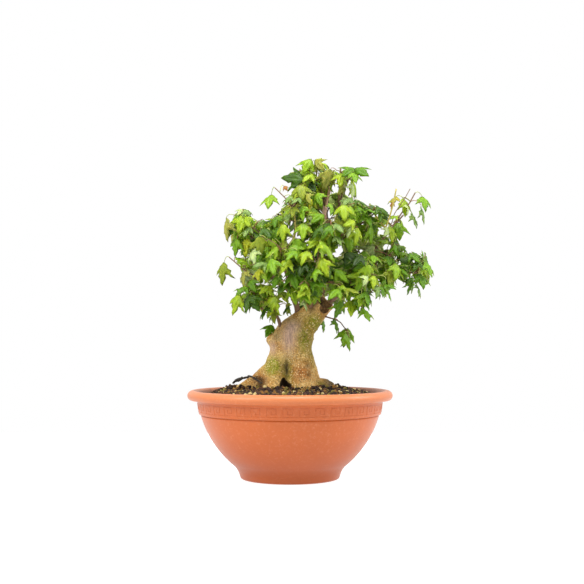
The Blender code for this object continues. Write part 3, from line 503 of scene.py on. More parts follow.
LEAF_COLOURS = {
    # deep: the darkest green, used as painted shade for the shown leaves in the crown's shaded hollows
    "deep": "#253a08",
    "dark": "#375408",
    "green": "#4f740c",
    "mid": "#668a12",
    "fresh": "#779416",
    "lime": "#869c1a",
    "yellow": "#9aa01c",
    "moss": "#76831f",
    "olive": "#898938",
    "ochre": "#928a29",
    "bronze": "#8f5a2a",
    "grey": "#6b8442",
    # pale: a pale green-grey, partly a painted highlight for leaves that catch the light
    "pale": "#9cad70",
}
UNDERSIDE_COLOURS = {
    "underside": "#84934f",
    "pale_underside": "#a2ad64",
}
GREENS = ("deep", "dark", "green", "mid", "fresh", "lime", "yellow")
TONE_SPREAD = 0.16
# The few leaves that are not plain green: up to which share of all of them
ODD_LEAVES = ((0.03, "olive"), (0.06, "moss"), (0.10, "grey"), (0.115, "pale"))
PALE_BELOW = ("lime", "yellow", "fresh", "pale")
# Bark of the twigs: its name, colour, the colour of its streaks and how dull it is
TWIG_BARKS = {
    "brown": ("twig_bark", "#7d5f3d", "#5f4830", 0.7),
    # The pale twig bark is partly painted light, made paler so that the shoot reads as lit
    "pale": ("pale_twig_bark", "#d9b48c", "#b08a6a", 0.7),
    "yellow": ("yellow_twig_bark", "#aa9c48", "#8d8436", 0.6),
}
# Every fifth leaf stalk is red
LEAF_STALKS = {"green_leaf_stalk": "#98a048", "red_leaf_stalk": "#8f5c38"}
RED_STALK = 5


def colour_setting(name, description, code):
    return FloatVectorProperty(
        name=name, description=description, default=linear(code), size=3, subtype="COLOR", min=0, max=1
    )


def length_setting(name, description, default):
    return FloatProperty(name=name, description=description, default=default, unit="LENGTH")


def power_setting(name, default):
    return FloatProperty(name=name, description="Its power", default=default, unit="POWER")


class BowlSettings(bpy.types.PropertyGroup):
    """The moulded bowl."""

    plastic: colour_setting("Plastic", "Colour of the bowl", "#b85b26")
    roughness: FloatProperty(name="Roughness", description="How dull it is", default=0.36, min=0, max=1)
    turn_steps: IntProperty(name="Turn steps", description="Faces round the bowl", default=224, min=36)
    relief: length_setting("Relief", "How far the key pattern stands out", 0.00035)
    stroke: length_setting("Stroke", "Width of a key stroke", 0.0011)


class SoilSettings(bpy.types.PropertyGroup):
    """The granular soil."""

    spacing: length_setting("Grain spacing", "From grain to grain", 0.0047)
    smallest: length_setting("Smallest grain", "Half its width", 0.0013)
    largest: length_setting("Largest grain", "Half its width", 0.0033)
    seed: IntProperty(name="Seed", description="Another scatter of grains", default=5)


class BarkSettings(bpy.types.PropertyGroup):
    """The trunk and the boughs."""

    pale: colour_setting("Pale bark", "Weathered bark", "#dcb56c")
    ochre: colour_setting("Ochre bark", "Newly flaked bark", "#b67d22")
    young: colour_setting("Young bark", "Bark of the boughs", "#7c6049")
    rows: IntProperty(name="Rows", description="Faces up the trunk", default=190, min=19)
    sides: IntProperty(name="Sides", description="Faces round the trunk", default=264, min=26)
    plate: length_setting("Plate", "Width of a bark flake", 0.0045)


class FoliageSettings(bpy.types.PropertyGroup):
    """The leaves."""

    leaf_length: length_setting("Leaf", "Length of a leaf's blade", 0.0280)
    smallest: FloatProperty(name="Smallest", description="Share of that length", default=0.74, min=0.1)
    largest: FloatProperty(name="Largest", description="Share of that length", default=1.12, min=0.1)
    seed: IntProperty(name="Seed", description="Another fold and droop for the shown leaves", default=3)


class StageSettings(bpy.types.PropertyGroup):
    """Floor, light and camera."""

    floor: colour_setting("Floor", "Colour of the floor", "#9a9a9a")
    left_power: power_setting("Left softbox", 18.0)
    right_power: power_setting("Right softbox", 15.0)
    top_power: power_setting("Top softbox", 32.0)
    glow: FloatProperty(name="Floor glow", description="Light through the opal floor", default=0.85, min=0)
    room: FloatProperty(name="Room", description="Brightness above in front", default=0.18, min=0)
    sky: FloatProperty(name="Surround", description="Brightness of the white surround", default=1.0, min=0)


# Making pieces


def fill(tree, node, values, links):
    """Sets a node's sockets, where a colour gets its alpha of 1, and makes its links."""
    for socket, value in values.items():
        held = node.inputs[socket]
        held.default_value = (*value, 1.0) if held.type == "RGBA" and len(value) == 3 else value
    for socket, source in links.items():
        tree.links.new(source, node.inputs[socket])
    return node


def add_node(tree, kind, values=None, links=None, **settings):
    """Adds a shader node with its settings, its socket values and its links."""
    made = tree.nodes.new("ShaderNode" + kind)
    for key, value in settings.items():
        setattr(made, key, value)
    return fill(tree, made, values or {}, links or {})


def new_material(name, values):
    """A material and its shader, whose sockets hold these values."""
    made = bpy.data.materials.new(name)
    made.use_nodes = True
    shader = fill(made.node_tree, made.node_tree.nodes["Principled BSDF"], values, {})
    made.diffuse_color = shader.inputs["Base Color"].default_value
    return made, made.node_tree, shader


def uneven(tree, place, scale, detail, rough, span, strength=(0.0, 1.0)):
    """Soft patches: the noise that they come from, and how strong they are as it runs up its span."""
    sockets = {"Scale": scale, "Detail": detail, "Roughness": rough}
    plain = add_node(tree, "TexNoise", sockets, {"Vector": place}).outputs["Fac"]
    levels = {1: span[0], 2: span[1], 3: strength[0], 4: strength[1]}
    return plain, add_node(tree, "MapRange", levels, {0: plain}).outputs[0]


def layered(tree, colour, coats):
    """What shows of a colour under coats of others, each as thick as its amount says."""
    below = None
    for amount, coat in coats:
        mix = add_node(tree, "Mix", {6: colour, 7: coat}, {0: amount}, data_type="RGBA")
        if below:
            tree.links.new(below, mix.inputs[6])
        below = mix.outputs[2]
    return below


def mark(made, name, kind, domain, values):
    """Keeps a value for each point or edge of a piece."""
    kept = made.data.attributes.new(name, kind, domain)
    kept.data.foreach_set("color" if kind == "FLOAT_COLOR" else "value", values)


def stand(name, data, place=(0, 0, 0), turn=(0, 0, 0)):
    """Puts an object in the scene."""
    made = bpy.data.objects.new(name, data)
    made.location, made.rotation_euler = place, turn
    bpy.context.scene.collection.objects.link(made)
    return made


def piece(name, points, faces, materials, nodes=(), smooth=True, face_materials=None):
    """A mesh object that rides on the tree and stands for the nodes named."""
    data = bpy.data.meshes.new(name)
    points = np.asarray(points, np.float32)
    faces = [np.asarray(group, np.int32) for group in (faces if isinstance(faces, list) else [faces])]
    data.vertices.add(len(points))
    data.vertices.foreach_set("co", points.ravel())
    corners = np.concatenate([group.ravel() for group in faces])
    sizes = np.concatenate([np.full(len(group), group.shape[1], np.int32) for group in faces])
    data.loops.add(len(corners))
    data.loops.foreach_set("vertex_index", corners)
    data.polygons.add(len(sizes))
    data.polygons.foreach_set("loop_start", np.concatenate([[0], np.cumsum(sizes)[:-1]]).astype(np.int32))
    data.polygons.foreach_set("loop_total", sizes)
    for material in materials:
        data.materials.append(material)
    if face_materials is not None:
        data.polygons.foreach_set("material_index", np.asarray(face_materials, np.int32))
    data.update(calc_edges=True)
    data.validate()
    data.polygons.foreach_set("use_smooth", np.full(len(data.polygons), smooth))
    made = stand(name, data)
    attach(made, "root")
    if nodes:
        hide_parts(*nodes)
    return made


def grid_faces(rows, columns, closed=True):
    """Four-sided faces between rows of points, joined round where closed."""
    row = np.arange(rows - 1)[:, None] * columns
    here = np.arange(columns if closed else columns - 1)[None]
    beside = (here + 1) % columns
    above = row + columns
    return np.stack([row + here, row + beside, above + beside, above + here], 2).reshape(-1, 4)


class Tubes:
    """Many tapering tubes gathered for one mesh, each with a material number."""

    def __init__(self):
        self.points, self.faces, self.numbers, self.count = [], [], [], 0

    def add(self, path, radii, sides, number=0):
        path = np.array([tuple(p) for p in path])
        ways = np.gradient(path, axis=0)
        ways /= np.linalg.norm(ways, axis=1, keepdims=True) + 1e-12
        side = np.array(tuple(Vector(ways[0]).orthogonal().normalized()))
        turn = np.arange(sides) * math.tau / sides
        for k in range(len(path)):
            side = side - ways[k] * (side @ ways[k])
            side /= np.linalg.norm(side)
            other = np.cross(ways[k], side)
            ring = np.outer(np.cos(turn), side) + np.outer(np.sin(turn), other)
            self.points.append(path[k] + ring * radii[k])
        sheet = grid_faces(len(path), sides) + self.count
        end = self.count + (len(path) - 1) * sides
        caps = [np.arange(sides)[::-1] + self.count, np.arange(sides) + end]
        fans = [[ring[0], ring[k], ring[k + 1]] for ring in caps for k in range(1, sides - 1)]
        halves = np.concatenate([sheet[:, [0, 1, 2]], sheet[:, [0, 2, 3]], np.array(fans)])
        self.faces.append(halves)
        self.numbers.append(np.full(len(halves), number))
        self.count += len(path) * sides

    def object(self, name, materials, nodes=()):
        points, faces, numbers = (np.concatenate(k) for k in (self.points, self.faces, self.numbers))
        return piece(name, points, faces, materials, nodes, face_materials=numbers)


# The photograph's view


def seen_at(points):
    """Columns and rows of the photograph where the points are seen."""
    points = np.atleast_2d(points)
    size = PIXEL * (1 + points[:, 1] / EYE_DISTANCE)
    return np.stack([AXIS_COLUMN + points[:, 0] / size, EYE_ROW - (points[:, 2] - EYE_HEIGHT) / size], 1)


def placed_at(column, row, depth):
    """The point at that depth that is seen at that column and row of the photograph."""
    size = PIXEL * (1 + depth / EYE_DISTANCE)
    return Vector(((column - AXIS_COLUMN) * size, depth, EYE_HEIGHT + (EYE_ROW - row) * size))


def inside(outline, places):
    """Which places lie inside a closed outline."""
    start = np.array(outline, float)
    end = np.roll(start, -1, axis=0)
    x, y = places[:, 0, None], places[:, 1, None]
    rise = end[:, 1] - start[:, 1]
    rise = np.where(rise == 0, 1e-9, rise)
    crossing = (end[:, 0] - start[:, 0]) * (y - start[:, 1]) / rise + start[:, 0]
    spans = (start[:, 1] > y) != (end[:, 1] > y)
    return (spans & (x < crossing)).sum(1) % 2 == 1


# Bowl


def arc(centre, half_sizes, start, end, steps):
    """Points of an ellipse's arc, from one angle in degrees to another."""
    turns = [math.radians(start + (end - start) * i / steps) for i in range(steps + 1)]
    wide, tall = half_sizes
    return [(centre[0] + wide * math.cos(turn), centre[1] + tall * math.sin(turn)) for turn in turns]


def bulged(start, end, bulge, steps):
    """Points of a circle's arc between two points, which stands out to one side by bulge."""
    a, b = Vector(start), Vector(end)
    half = (b - a).length / 2
    along = (b - a).normalized()
    side = Vector((-along.y, along.x))
    radius = (half * half + bulge * bulge) / (2 * abs(bulge))
    middle = (a + b) / 2 + side * math.copysign(1, bulge) * (abs(bulge) - radius)
    sweep = 2 * math.asin(half / radius) * -math.copysign(1, bulge)
    first = a - middle
    turned = [middle + Matrix.Rotation(sweep * i / steps, 2) @ first for i in range(steps + 1)]
    return [(p.x, p.y) for p in turned]


def eased(corners, radius, steps=3):
    """An outline with each sharp corner rounded off."""
    found = [corners[0]]
    for before, corner, after in zip(corners, corners[1:], corners[2:]):
        a, b, c = Vector(before), Vector(corner), Vector(after)
        into, out = (a - b), (c - b)
        if into.length < 1e-9 or out.length < 1e-9:
            continue
        if into.angle(out) > math.radians(160):
            found.append(corner)
            continue
        reach = min(radius, into.length * 0.45, out.length * 0.45)
        first, last = b + into.normalized() * reach, b + out.normalized() * reach
        for i in range(steps + 1):
            t = i / steps
            spot = first * (1 - t) ** 2 + b * 2 * t * (1 - t) + last * t * t
            found.append((spot.x, spot.y))
    return found + [corners[-1]]


def bowl_outline():
    """The bowl's wall from the middle of its floor, up inside, over the lip and down to its underside."""
    outer = bulged(BOWL_TOP, BOWL_FOOT, BOWL_BULGE, 26)
    upper = [(BAND_TOP[0] - WALL, BAND_TOP[1]), (BAND_FOOT[0] - WALL, BAND_FOOT[1])]
    lower = [(x - WALL * 0.9, z + WALL * 0.45) for x, z in outer[1:]]
    inner = upper + lower + [(UNDERSIDE_RADIUS - WALL, FLOOR)]
    lip = arc(LIP_CENTRE, LIP_SIZE, 180, -52, 26)
    foot = bulged(BOWL_FOOT, FOOT_TOP, FOOT_BULGE, 4)[1:]
    base = [(0.0722, 0.0012), (UNDERSIDE_RADIUS, 0.0), (0.0, 0.0)]
    corners = [(0.0, FLOOR)] + inner[::-1] + lip + [BAND_TOP, BAND_FOOT, GROOVE] + outer + foot + base
    return eased(corners, 0.0009)


def moulded_polypropylene(settings):
    """Injection-moulded polypropylene: satin, its shine dulled by a dusty film, with the mould's fine grain.
    """
    plastic = settings.plastic
    values = {"Base Color": plastic, "Roughness": settings.roughness, "IOR": 1.49}
    values["Specular IOR Level"] = 0.38
    made, tree, shader = new_material("moulded_polypropylene", values)
    place = add_node(tree, "TexCoord").outputs["Object"]
    height = add_node(tree, "SeparateXYZ", links={0: place}).outputs["Z"]
    # Cloudy patches 30 mm across, as the pigment mixes in the melt
    cloud = add_node(tree, "TexNoise", {"Scale": 33.0, "Detail": 4.0, "Roughness": 0.6}, {"Vector": place})
    # Handling dust and scuffs in streaks 4 mm wide
    scuff, worn = uneven(tree, place, 240.0, 5.0, 0.7, (0.52, 0.78), (0.0, 0.30))
    rough = add_node(tree, "MapRange", {1: 0.3, 2: 0.7, 3: 0.30, 4: 0.44}, {0: scuff}).outputs[0]
    # Dust and painted light on the lip and the band's top, painted shade darker towards the foot, and soil
    # stains with painted shade on the inside wall
    # Lighter lip and band top: partly dust, partly painted light from above
    dust_and_top_light = add_node(tree, "MapRange", {1: 0.112, 2: 0.122, 3: 0.0, 4: 0.30}, {0: height}).outputs[0]
    # Painted shade, darker towards the foot
    painted_lower_shade = add_node(tree, "MapRange", {1: 0.015, 2: 0.075, 3: 0.50, 4: 0.0}, {0: height}).outputs[0]
    # Soil stains and painted shade on the inside wall
    grime_and_shade = add_node(tree, "Attribute", attribute_name="grime_and_shade").outputs["Fac"]
    coats = (
        (cloud.outputs["Fac"], [c * 1.08 for c in plastic]),
        (worn, linear("#dd9a76")),
        (dust_and_top_light, linear("#d39468")),
        (painted_lower_shade, linear("#8f3c14")),
        (grime_and_shade, linear("#3a2416")),
    )
    colour = layered(tree, [c * 0.90 for c in plastic], coats)
    # Mould grain, really 0.2 mm, drawn 0.8 mm wide so that it shows
    grain = add_node(tree, "TexNoise", {"Scale": 1250.0, "Detail": 2.0}, {"Vector": place}).outputs["Fac"]
    bump = add_node(tree, "Bump", {"Strength": 0.18, "Distance": 0.0002}, {"Height": grain}).outputs[0]
    fill(tree, shader, {}, {"Base Color": colour, "Roughness": rough, "Normal": bump})
    return made


class BONSAI_OT_bowl(bpy.types.Operator):
    """Turns the bowl from its outline"""

    bl_idname = "bonsai.bowl"
    bl_label = "Bowl"

    def execute(self, context):
        settings = context.scene.bonsai_bowl
        outline = np.array(bowl_outline())[1:-1]
        turns = np.arange(settings.turn_steps) * math.tau / settings.turn_steps
        radius, height = outline[:, 0, None], outline[:, 1, None]
        sheet = np.stack([radius * np.cos(turns), radius * np.sin(turns), height + 0 * turns], 2)
        steps = settings.turn_steps
        points = np.concatenate([sheet.reshape(-1, 3), [[0, 0, FLOOR], [0, 0, 0]]])
        here = np.arange(steps)
        beside = (here + 1) % steps
        last = (len(outline) - 1) * steps
        floor = np.stack([here, beside, here * 0 + len(points) - 2], 1)
        under = np.stack([last + beside, last + here, here * 0 + len(points) - 1], 1)
        walls = grid_faces(len(outline), steps)[:, ::-1]
        material = moulded_polypropylene(settings)
        made = piece("bowl_moulding", points, [walls, floor, under], [material], ["bowl"])
        # The inside wall darkens towards the soil: soil stains and painted shade
        inner = np.arange(len(outline)) < outline[:, 1].argmax()
        splash_and_shade = inner * np.clip((BOWL_HEIGHT + 0.002 - outline[:, 1]) / 0.010, 0, 1)
        grime_and_shade = np.append(np.repeat(splash_and_shade, steps), [0, 0])
        grime_and_shade *= np.array([0.8 + 0.5 * noise.noise(Vector(p) * 90) for p in points])
        mark(made, "grime_and_shade", "FLOAT", "POINT", np.clip(grime_and_shade, 0, 1).astype(np.float32))
        return {"FINISHED"}


class BONSAI_OT_band_ornament(bpy.types.Operator):
    """Raises a plain key pattern on the bowl's band"""

    bl_idname = "bonsai.band_ornament"
    bl_label = "Band ornament"

    def execute(self, context):
        settings = context.scene.bonsai_bowl
        low, high = Vector(BAND_FOOT), Vector(BAND_TOP)
        up = high - low
        out = Vector((up.y, -up.x)).normalized()
        width = math.tau * low.x / BAND_REPEATS
        margin = BAND_MARGIN
        tall = up.length - 2 * margin
        points, faces = [], []
        for repeat in range(BAND_REPEATS):
            for start, end in BAND_STROKES:
                a = Vector((start[0] * width, start[1] * tall))
                b = Vector((end[0] * width, end[1] * tall))
                run = (b - a).normalized()
                side = Vector((-run.y, run.x)) * settings.stroke / 2
                a, b = a - run * settings.stroke / 2, b + run * settings.stroke / 2
                steps = max(1, round((b - a).length / 0.004))
                first = len(points)
                for k in range(steps + 1):
                    middle = a.lerp(b, k / steps)
                    for across, proud in ((-1.0, -0.5), (-0.45, 1.0), (0.45, 1.0), (1.0, -0.5)):
                        spot = middle + side * across
                        if k in (0, steps):
                            spot += run * (settings.stroke * (0.25 if k else -0.25)) * (proud < 0)
                        share = (spot.y + margin) / up.length
                        ring = low + up * share + out * settings.relief * proud
                        turn = (repeat * width + spot.x) / low.x
                        points.append((ring.x * math.cos(turn), ring.x * math.sin(turn), ring.y))
                faces += [*grid_faces(steps + 1, 4, closed=False) + first]
                faces += [np.array((3, 2, 1, 0)) + first, np.arange(4) + first + 4 * steps]
        material = bpy.data.materials["moulded_polypropylene"]
        made = piece("bowl_band_relief", points, np.array(faces), [material], smooth=False)
        bm = bmesh.new()
        bm.from_mesh(made.data)
        bmesh.ops.recalc_face_normals(bm, faces=bm.faces)
        bm.to_mesh(made.data)
        bm.free()
        return {"FINISHED"}


# Soil


def soil_height(radius):
    """The soil's height at that distance from the middle."""
    across, up = np.array(SOIL_OUTLINE).T
    return np.interp(radius, across, up)


def granular_soil(name, code, rough, speck):
    """Fired clay, pumice and lava grit: dull, porous and freckled."""
    made, tree, shader = new_material(name, {"Base Color": linear(code), "Roughness": rough, "IOR": 1.5})
    place = add_node(tree, "TexCoord").outputs["Object"]
    # Pores and freckles 1 mm across
    pores, freckles = uneven(tree, place, 950.0, 3.0, 0.7, (0.35, 0.68))
    colour = layered(tree, [c * 0.55 for c in linear(code)], [(freckles, linear(speck))])
    bump = add_node(tree, "Bump", {"Strength": 0.6, "Distance": 0.0004}, {"Height": pores}).outputs[0]
    fill(tree, shader, {}, {"Base Color": colour, "Normal": bump})
    return made


# Kinds of grain: colour, lighter freckle, share of the grains
GRAINS = {
    "humus": ("#1e1007", "#36200e", 0.42),
    "bark_chip": ("#432610", "#643f1d", 0.21),
    "lava": ("#3d231a", "#55372c", 0.11),
    "baked_clay": ("#784c15", "#a27431", 0.13),
    "pumice": ("#c4a15a", "#e8d192", 0.065),
    "moss_grit": ("#6d5c20", "#938138", 0.08),
}


class BONSAI_OT_soil(bpy.types.Operator):
    """Lays the soil and scatters its grains"""

    bl_idname = "bonsai.soil"
    bl_label = "Soil"

    def execute(self, context):
        settings = context.scene.bonsai_soil
        rings, steps = SOIL_RINGS, SOIL_STEPS
        radius = np.linspace(0.0005, SOIL_OUTLINE[-1][0], rings)
        turns = np.arange(steps) * math.tau / steps
        x, y = np.outer(radius, np.cos(turns)).ravel(), np.outer(radius, np.sin(turns)).ravel()
        z = soil_height(np.hypot(x, y)) - 0.0006
        z += np.array([noise.noise(Vector((a, b, 0)) * 160) * 0.0012 for a, b in zip(x, y)])
        skirt = np.stack([x[-steps:], y[-steps:], z[-steps:] - 0.014], 1)
        points = np.concatenate([np.stack([x, y, z], 1), skirt])
        # The bed is dark humus, darkened further as painted shade in the gaps between the grains
        bed = granular_soil("soil_humus_bed_and_gap_shade", "#1e140c", 0.95, "#33241a")
        piece("soil_bed", points, grid_faces(rings + 1, steps), [bed], ["soil"])
        self.scatter(settings)
        return {"FINISHED"}

    def scatter(self, settings):
        """Irregular grains on a jittered grid, none under the trunk's foot."""
        rng = random.Random(settings.seed)
        bm = bmesh.new()
        bmesh.ops.create_icosphere(bm, subdivisions=2, radius=1.0)
        ball = np.array([tuple(v.co) for v in bm.verts])
        sides = np.array([[v.index for v in face.verts] for face in bm.faces])
        bm.free()
        found = {kind: ([], []) for kind in GRAINS}
        kinds, shares = list(GRAINS), [GRAINS[kind][2] for kind in GRAINS]
        limit = SOIL_OUTLINE[-1][0] - 0.0012
        step = settings.spacing
        count = int(limit / step) + 2
        for row in range(-count, count + 1):
            for column in range(-count, count + 1):
                x = (column + 0.5 * (row % 2) + rng.uniform(-0.35, 0.35)) * step
                y = (row * 0.866 + rng.uniform(-0.35, 0.35)) * step
                size = settings.smallest + (settings.largest - settings.smallest) * rng.random() ** 1.6
                turn, away = math.atan2(y, x), math.hypot(x, y)
                kind = rng.choices(kinds, shares)[0]
                shape = [rng.uniform(0.7, 1.3), rng.uniform(0.7, 1.2), rng.uniform(0.55, 0.95)]
                spun = rng.uniform(0, math.tau)
                spin = Matrix.Rotation(spun, 3, Vector((rng.gauss(0, 1), 1, rng.gauss(0, 1))))
                lift = rng.uniform(-0.1, 0.75)
                if away > limit - size or away < trunk_reach(turn) - 0.002:
                    continue
                lumps = np.array([noise.noise(Vector(v) * 1.4 + Vector((x, y, 0)) * 900) for v in ball])
                grain = ball * (1 + 0.45 * lumps[:, None]) * shape * size
                grain = grain @ np.array(spin)
                mound = MOUND * math.exp(-(((away - trunk_reach(turn)) / MOUND_WIDTH) ** 2))
                z = float(soil_height(away)) + mound - size * 0.2 + size * lift * 0.6
                points, faces = found[kind]
                faces.append(sides + len(points) * len(ball))
                points.append(grain + [x, y, z])
        for kind, (points, faces) in found.items():
            code, speck, _ = GRAINS[kind]
            material = granular_soil("soil_" + kind, code, 0.92, speck)
            piece("soil_grains_" + kind, np.concatenate(points), np.concatenate(faces), [material])


# Trunk


def smooth_stations(count, table=TRUNK_STATIONS):
    """The trunk's stations, resampled on a smooth curve through them."""
    table = np.array(table, float)
    slopes = np.gradient(table, axis=0)
    places = np.linspace(0, len(table) - 1, count)
    index = np.minimum(places.astype(int), len(table) - 2)
    t = (places - index)[:, None]
    first = (2 * t**3 - 3 * t**2 + 1) * table[index] + (t**3 - 2 * t**2 + t) * slopes[index]
    second = (3 * t**2 - 2 * t**3) * table[index + 1] + (t**3 - t**2) * slopes[index + 1]
    return first + second


def root_reach(angles, heights):
    """How far the roots stand out of the trunk at those compass angles and heights above the soil."""
    out = np.zeros(np.broadcast(angles, heights).shape)
    for degrees, reach, top, spread, blunt in ROOTS:
        turn = (np.degrees(angles) - degrees + 180) % 360 - 180
        share = np.clip(1 - heights / top, 0, 1.6)
        out += reach * share**blunt * np.exp(-((turn / spread) ** 2))
    return out


def trunk_points(rows, angles):
    """The trunk's surface at each row and compass angle."""
    height, sideways, lean, half_width, half_depth = (rows[:, k, None] for k in range(5))
    oval = 1 / np.hypot(np.cos(angles) / half_width, np.sin(angles) / half_depth)
    radius = oval * (1 + 0.025 * np.cos(3 * angles + 40 * height)) + root_reach(angles[None], height)
    tilt = np.radians(lean)
    across = radius * np.cos(angles)
    x = sideways + across * np.cos(tilt)
    z = GROUND + height - across * np.sin(tilt)
    return np.stack([x, radius * np.sin(angles), z], 2)


def trunk_reach(angle):
    """How far the trunk's foot reaches at that compass angle."""
    spot = trunk_points(smooth_stations(2)[:1], np.array([angle]))[0, 0]
    return math.hypot(spot[0], spot[1])


def bulge_at(points, centre, reach):
    """1 at the centre of a form, falling smoothly to 0 about its reach."""
    gaps = (points - np.array(centre)) / np.array(reach)
    return np.exp(-(gaps**2).sum(-1))


def trunk_relief(points, plate):
    """How far the bark stands out at each point, and how deep it lies in a crack."""
    out = np.zeros(len(points))
    cracks = np.zeros(len(points))
    for k, point in enumerate(points):
        spot = Vector(point)
        upright = Vector((spot.x, spot.y, spot.z * 0.55))
        muscle = noise.noise(Vector((spot.x * 62, spot.y * 62, spot.z * 24)))
        swell = noise.noise(upright * 140 + Vector((3, 1, 7)))
        near, second = noise.voronoi((upright + Vector((1, 1, 1)) * 0.0015 * swell) / plate)[0][:2]
        crack = max(0.0, 1 - (second - near) / 0.16)
        grit, fine = noise.noise(spot * 330), noise.noise(spot * 900)
        lumpy = 1 + 2.5 * math.exp(-(((spot.x - 0.062) / 0.020) ** 2) - ((spot.z - 0.136) / 0.014) ** 2)
        out[k] = MUSCLE * muscle + SWELL * swell * lumpy - CRACK * crack + GRIT * grit + CRUMB * fine
        cracks[k] = crack
    return out, cracks


def carved(points, centre, reach, way):
    """Points inside an egg-shaped hollow, pushed along a way to its far side."""
    way = np.array(way, float)
    scale = 1 / np.array(reach)
    start, run = (points - np.array(centre)) * scale, way * scale
    a, b, c = run @ run, start @ run, (start**2).sum(1) - 1
    held = c < 0
    push = np.where(held, (-b + np.sqrt(np.maximum(b * b - a * c, 0))) / a, 0)
    return points + push[:, None] * way, held


def hollowed(points, hollows):
    """Points pushed out of several hollows, and which ones were."""
    moved = np.zeros(len(points), bool)
    for centre, reach, way in hollows:
        points, held = carved(points, centre, reach, way)
        moved |= held
    return points, moved


def weathered_maple_bark(settings):
    """Old flaking bark: pale skin, ochre where flakes have dropped, green with moss, and painted shade in
    its cracks and hollows.
    """
    values = {"Base Color": settings.pale, "Roughness": 0.86, "IOR": 1.45}
    made, tree, shader = new_material("weathered_maple_bark", values)
    place = add_node(tree, "TexCoord").outputs["Object"]
    stains = add_node(tree, "Attribute", attribute_name="stains").outputs["Color"]
    moss, scar, redder = add_node(tree, "SeparateColor", links={0: stains}).outputs
    depth = add_node(tree, "Attribute", attribute_name="depth").outputs["Fac"]
    # Patches of fresh bark 14 mm across
    _, fresh = uneven(tree, place, 72.0, 5.0, 0.62, (0.42, 0.62), (0.0, 0.75))
    # Moss in tufts 3 mm across where the attribute lets it grow
    _, tufts = uneven(tree, place, 330.0, 4.0, 0.75, (0.34, 0.58), (0.25, 1.2))
    # Dark pores and crumbs 2 mm across, then cream flakes of dead skin 2.5 mm apart
    crumbs, pores = uneven(tree, place, 480.0, 3.0, 0.65, (0.50, 0.64), (0.0, 0.75))
    fleck = add_node(tree, "TexVoronoi", {"Scale": 390.0, "Randomness": 1.0}, {"Vector": place})
    flecks = add_node(tree, "MapRange", {1: 0.22, 2: 0.42, 3: 0.85, 4: 0.0}, {0: fleck.outputs["Distance"]})
    _, fields = uneven(tree, place, 150.0, 3.0, 0.5, (0.40, 0.56))
    # Grey weathered streaks down the scar, 1.5 mm wide
    drawn = add_node(tree, "Mapping", {"Scale": (1.0, 1.0, 0.12)}, {"Vector": place}).outputs[0]
    _, streaks = uneven(tree, drawn, 420.0, 3.0, 0.5, (0.44, 0.62), (0.0, 0.75))
    grown, specks, grey = (
        add_node(tree, "Math", links={0: one, 1: other}, operation="MULTIPLY", use_clamp=True).outputs[0]
        for one, other in ((tufts, moss), (flecks.outputs[0], fields), (streaks, scar))
    )
    coats = (
        (fresh, settings.ochre),
        (redder, linear("#ad6630")),
        (grown, linear("#868c0c")),
        (pores, linear("#543a18")),
        (specks, linear("#eed89a")),
        (scar, linear("#cfae98")),
        (grey, linear("#8b7264")),
        # depth: painted shade in the cracks, under the arch, in the rotted hollow, in shaded creases and
        # gaps, and where the dark marks lie
        (depth, linear("#33240f")),
    )
    colour = layered(tree, settings.pale, coats)
    # Crumbs 2 mm across and fibres under 1 mm
    rough = add_node(tree, "Bump", {"Strength": 0.6, "Distance": 0.0008}, {"Height": crumbs}).outputs[0]
    fine = {"Scale": 1400.0, "Detail": 4.0, "Roughness": 0.7}
    fibre = add_node(tree, "TexNoise", fine, {"Vector": place}).outputs["Fac"]
    relief = {"Height": fibre, "Normal": rough}
    bump = add_node(tree, "Bump", {"Strength": 0.5, "Distance": 0.0005}, relief).outputs[0]
    fill(tree, shader, {}, {"Base Color": colour, "Normal": bump})
    return made


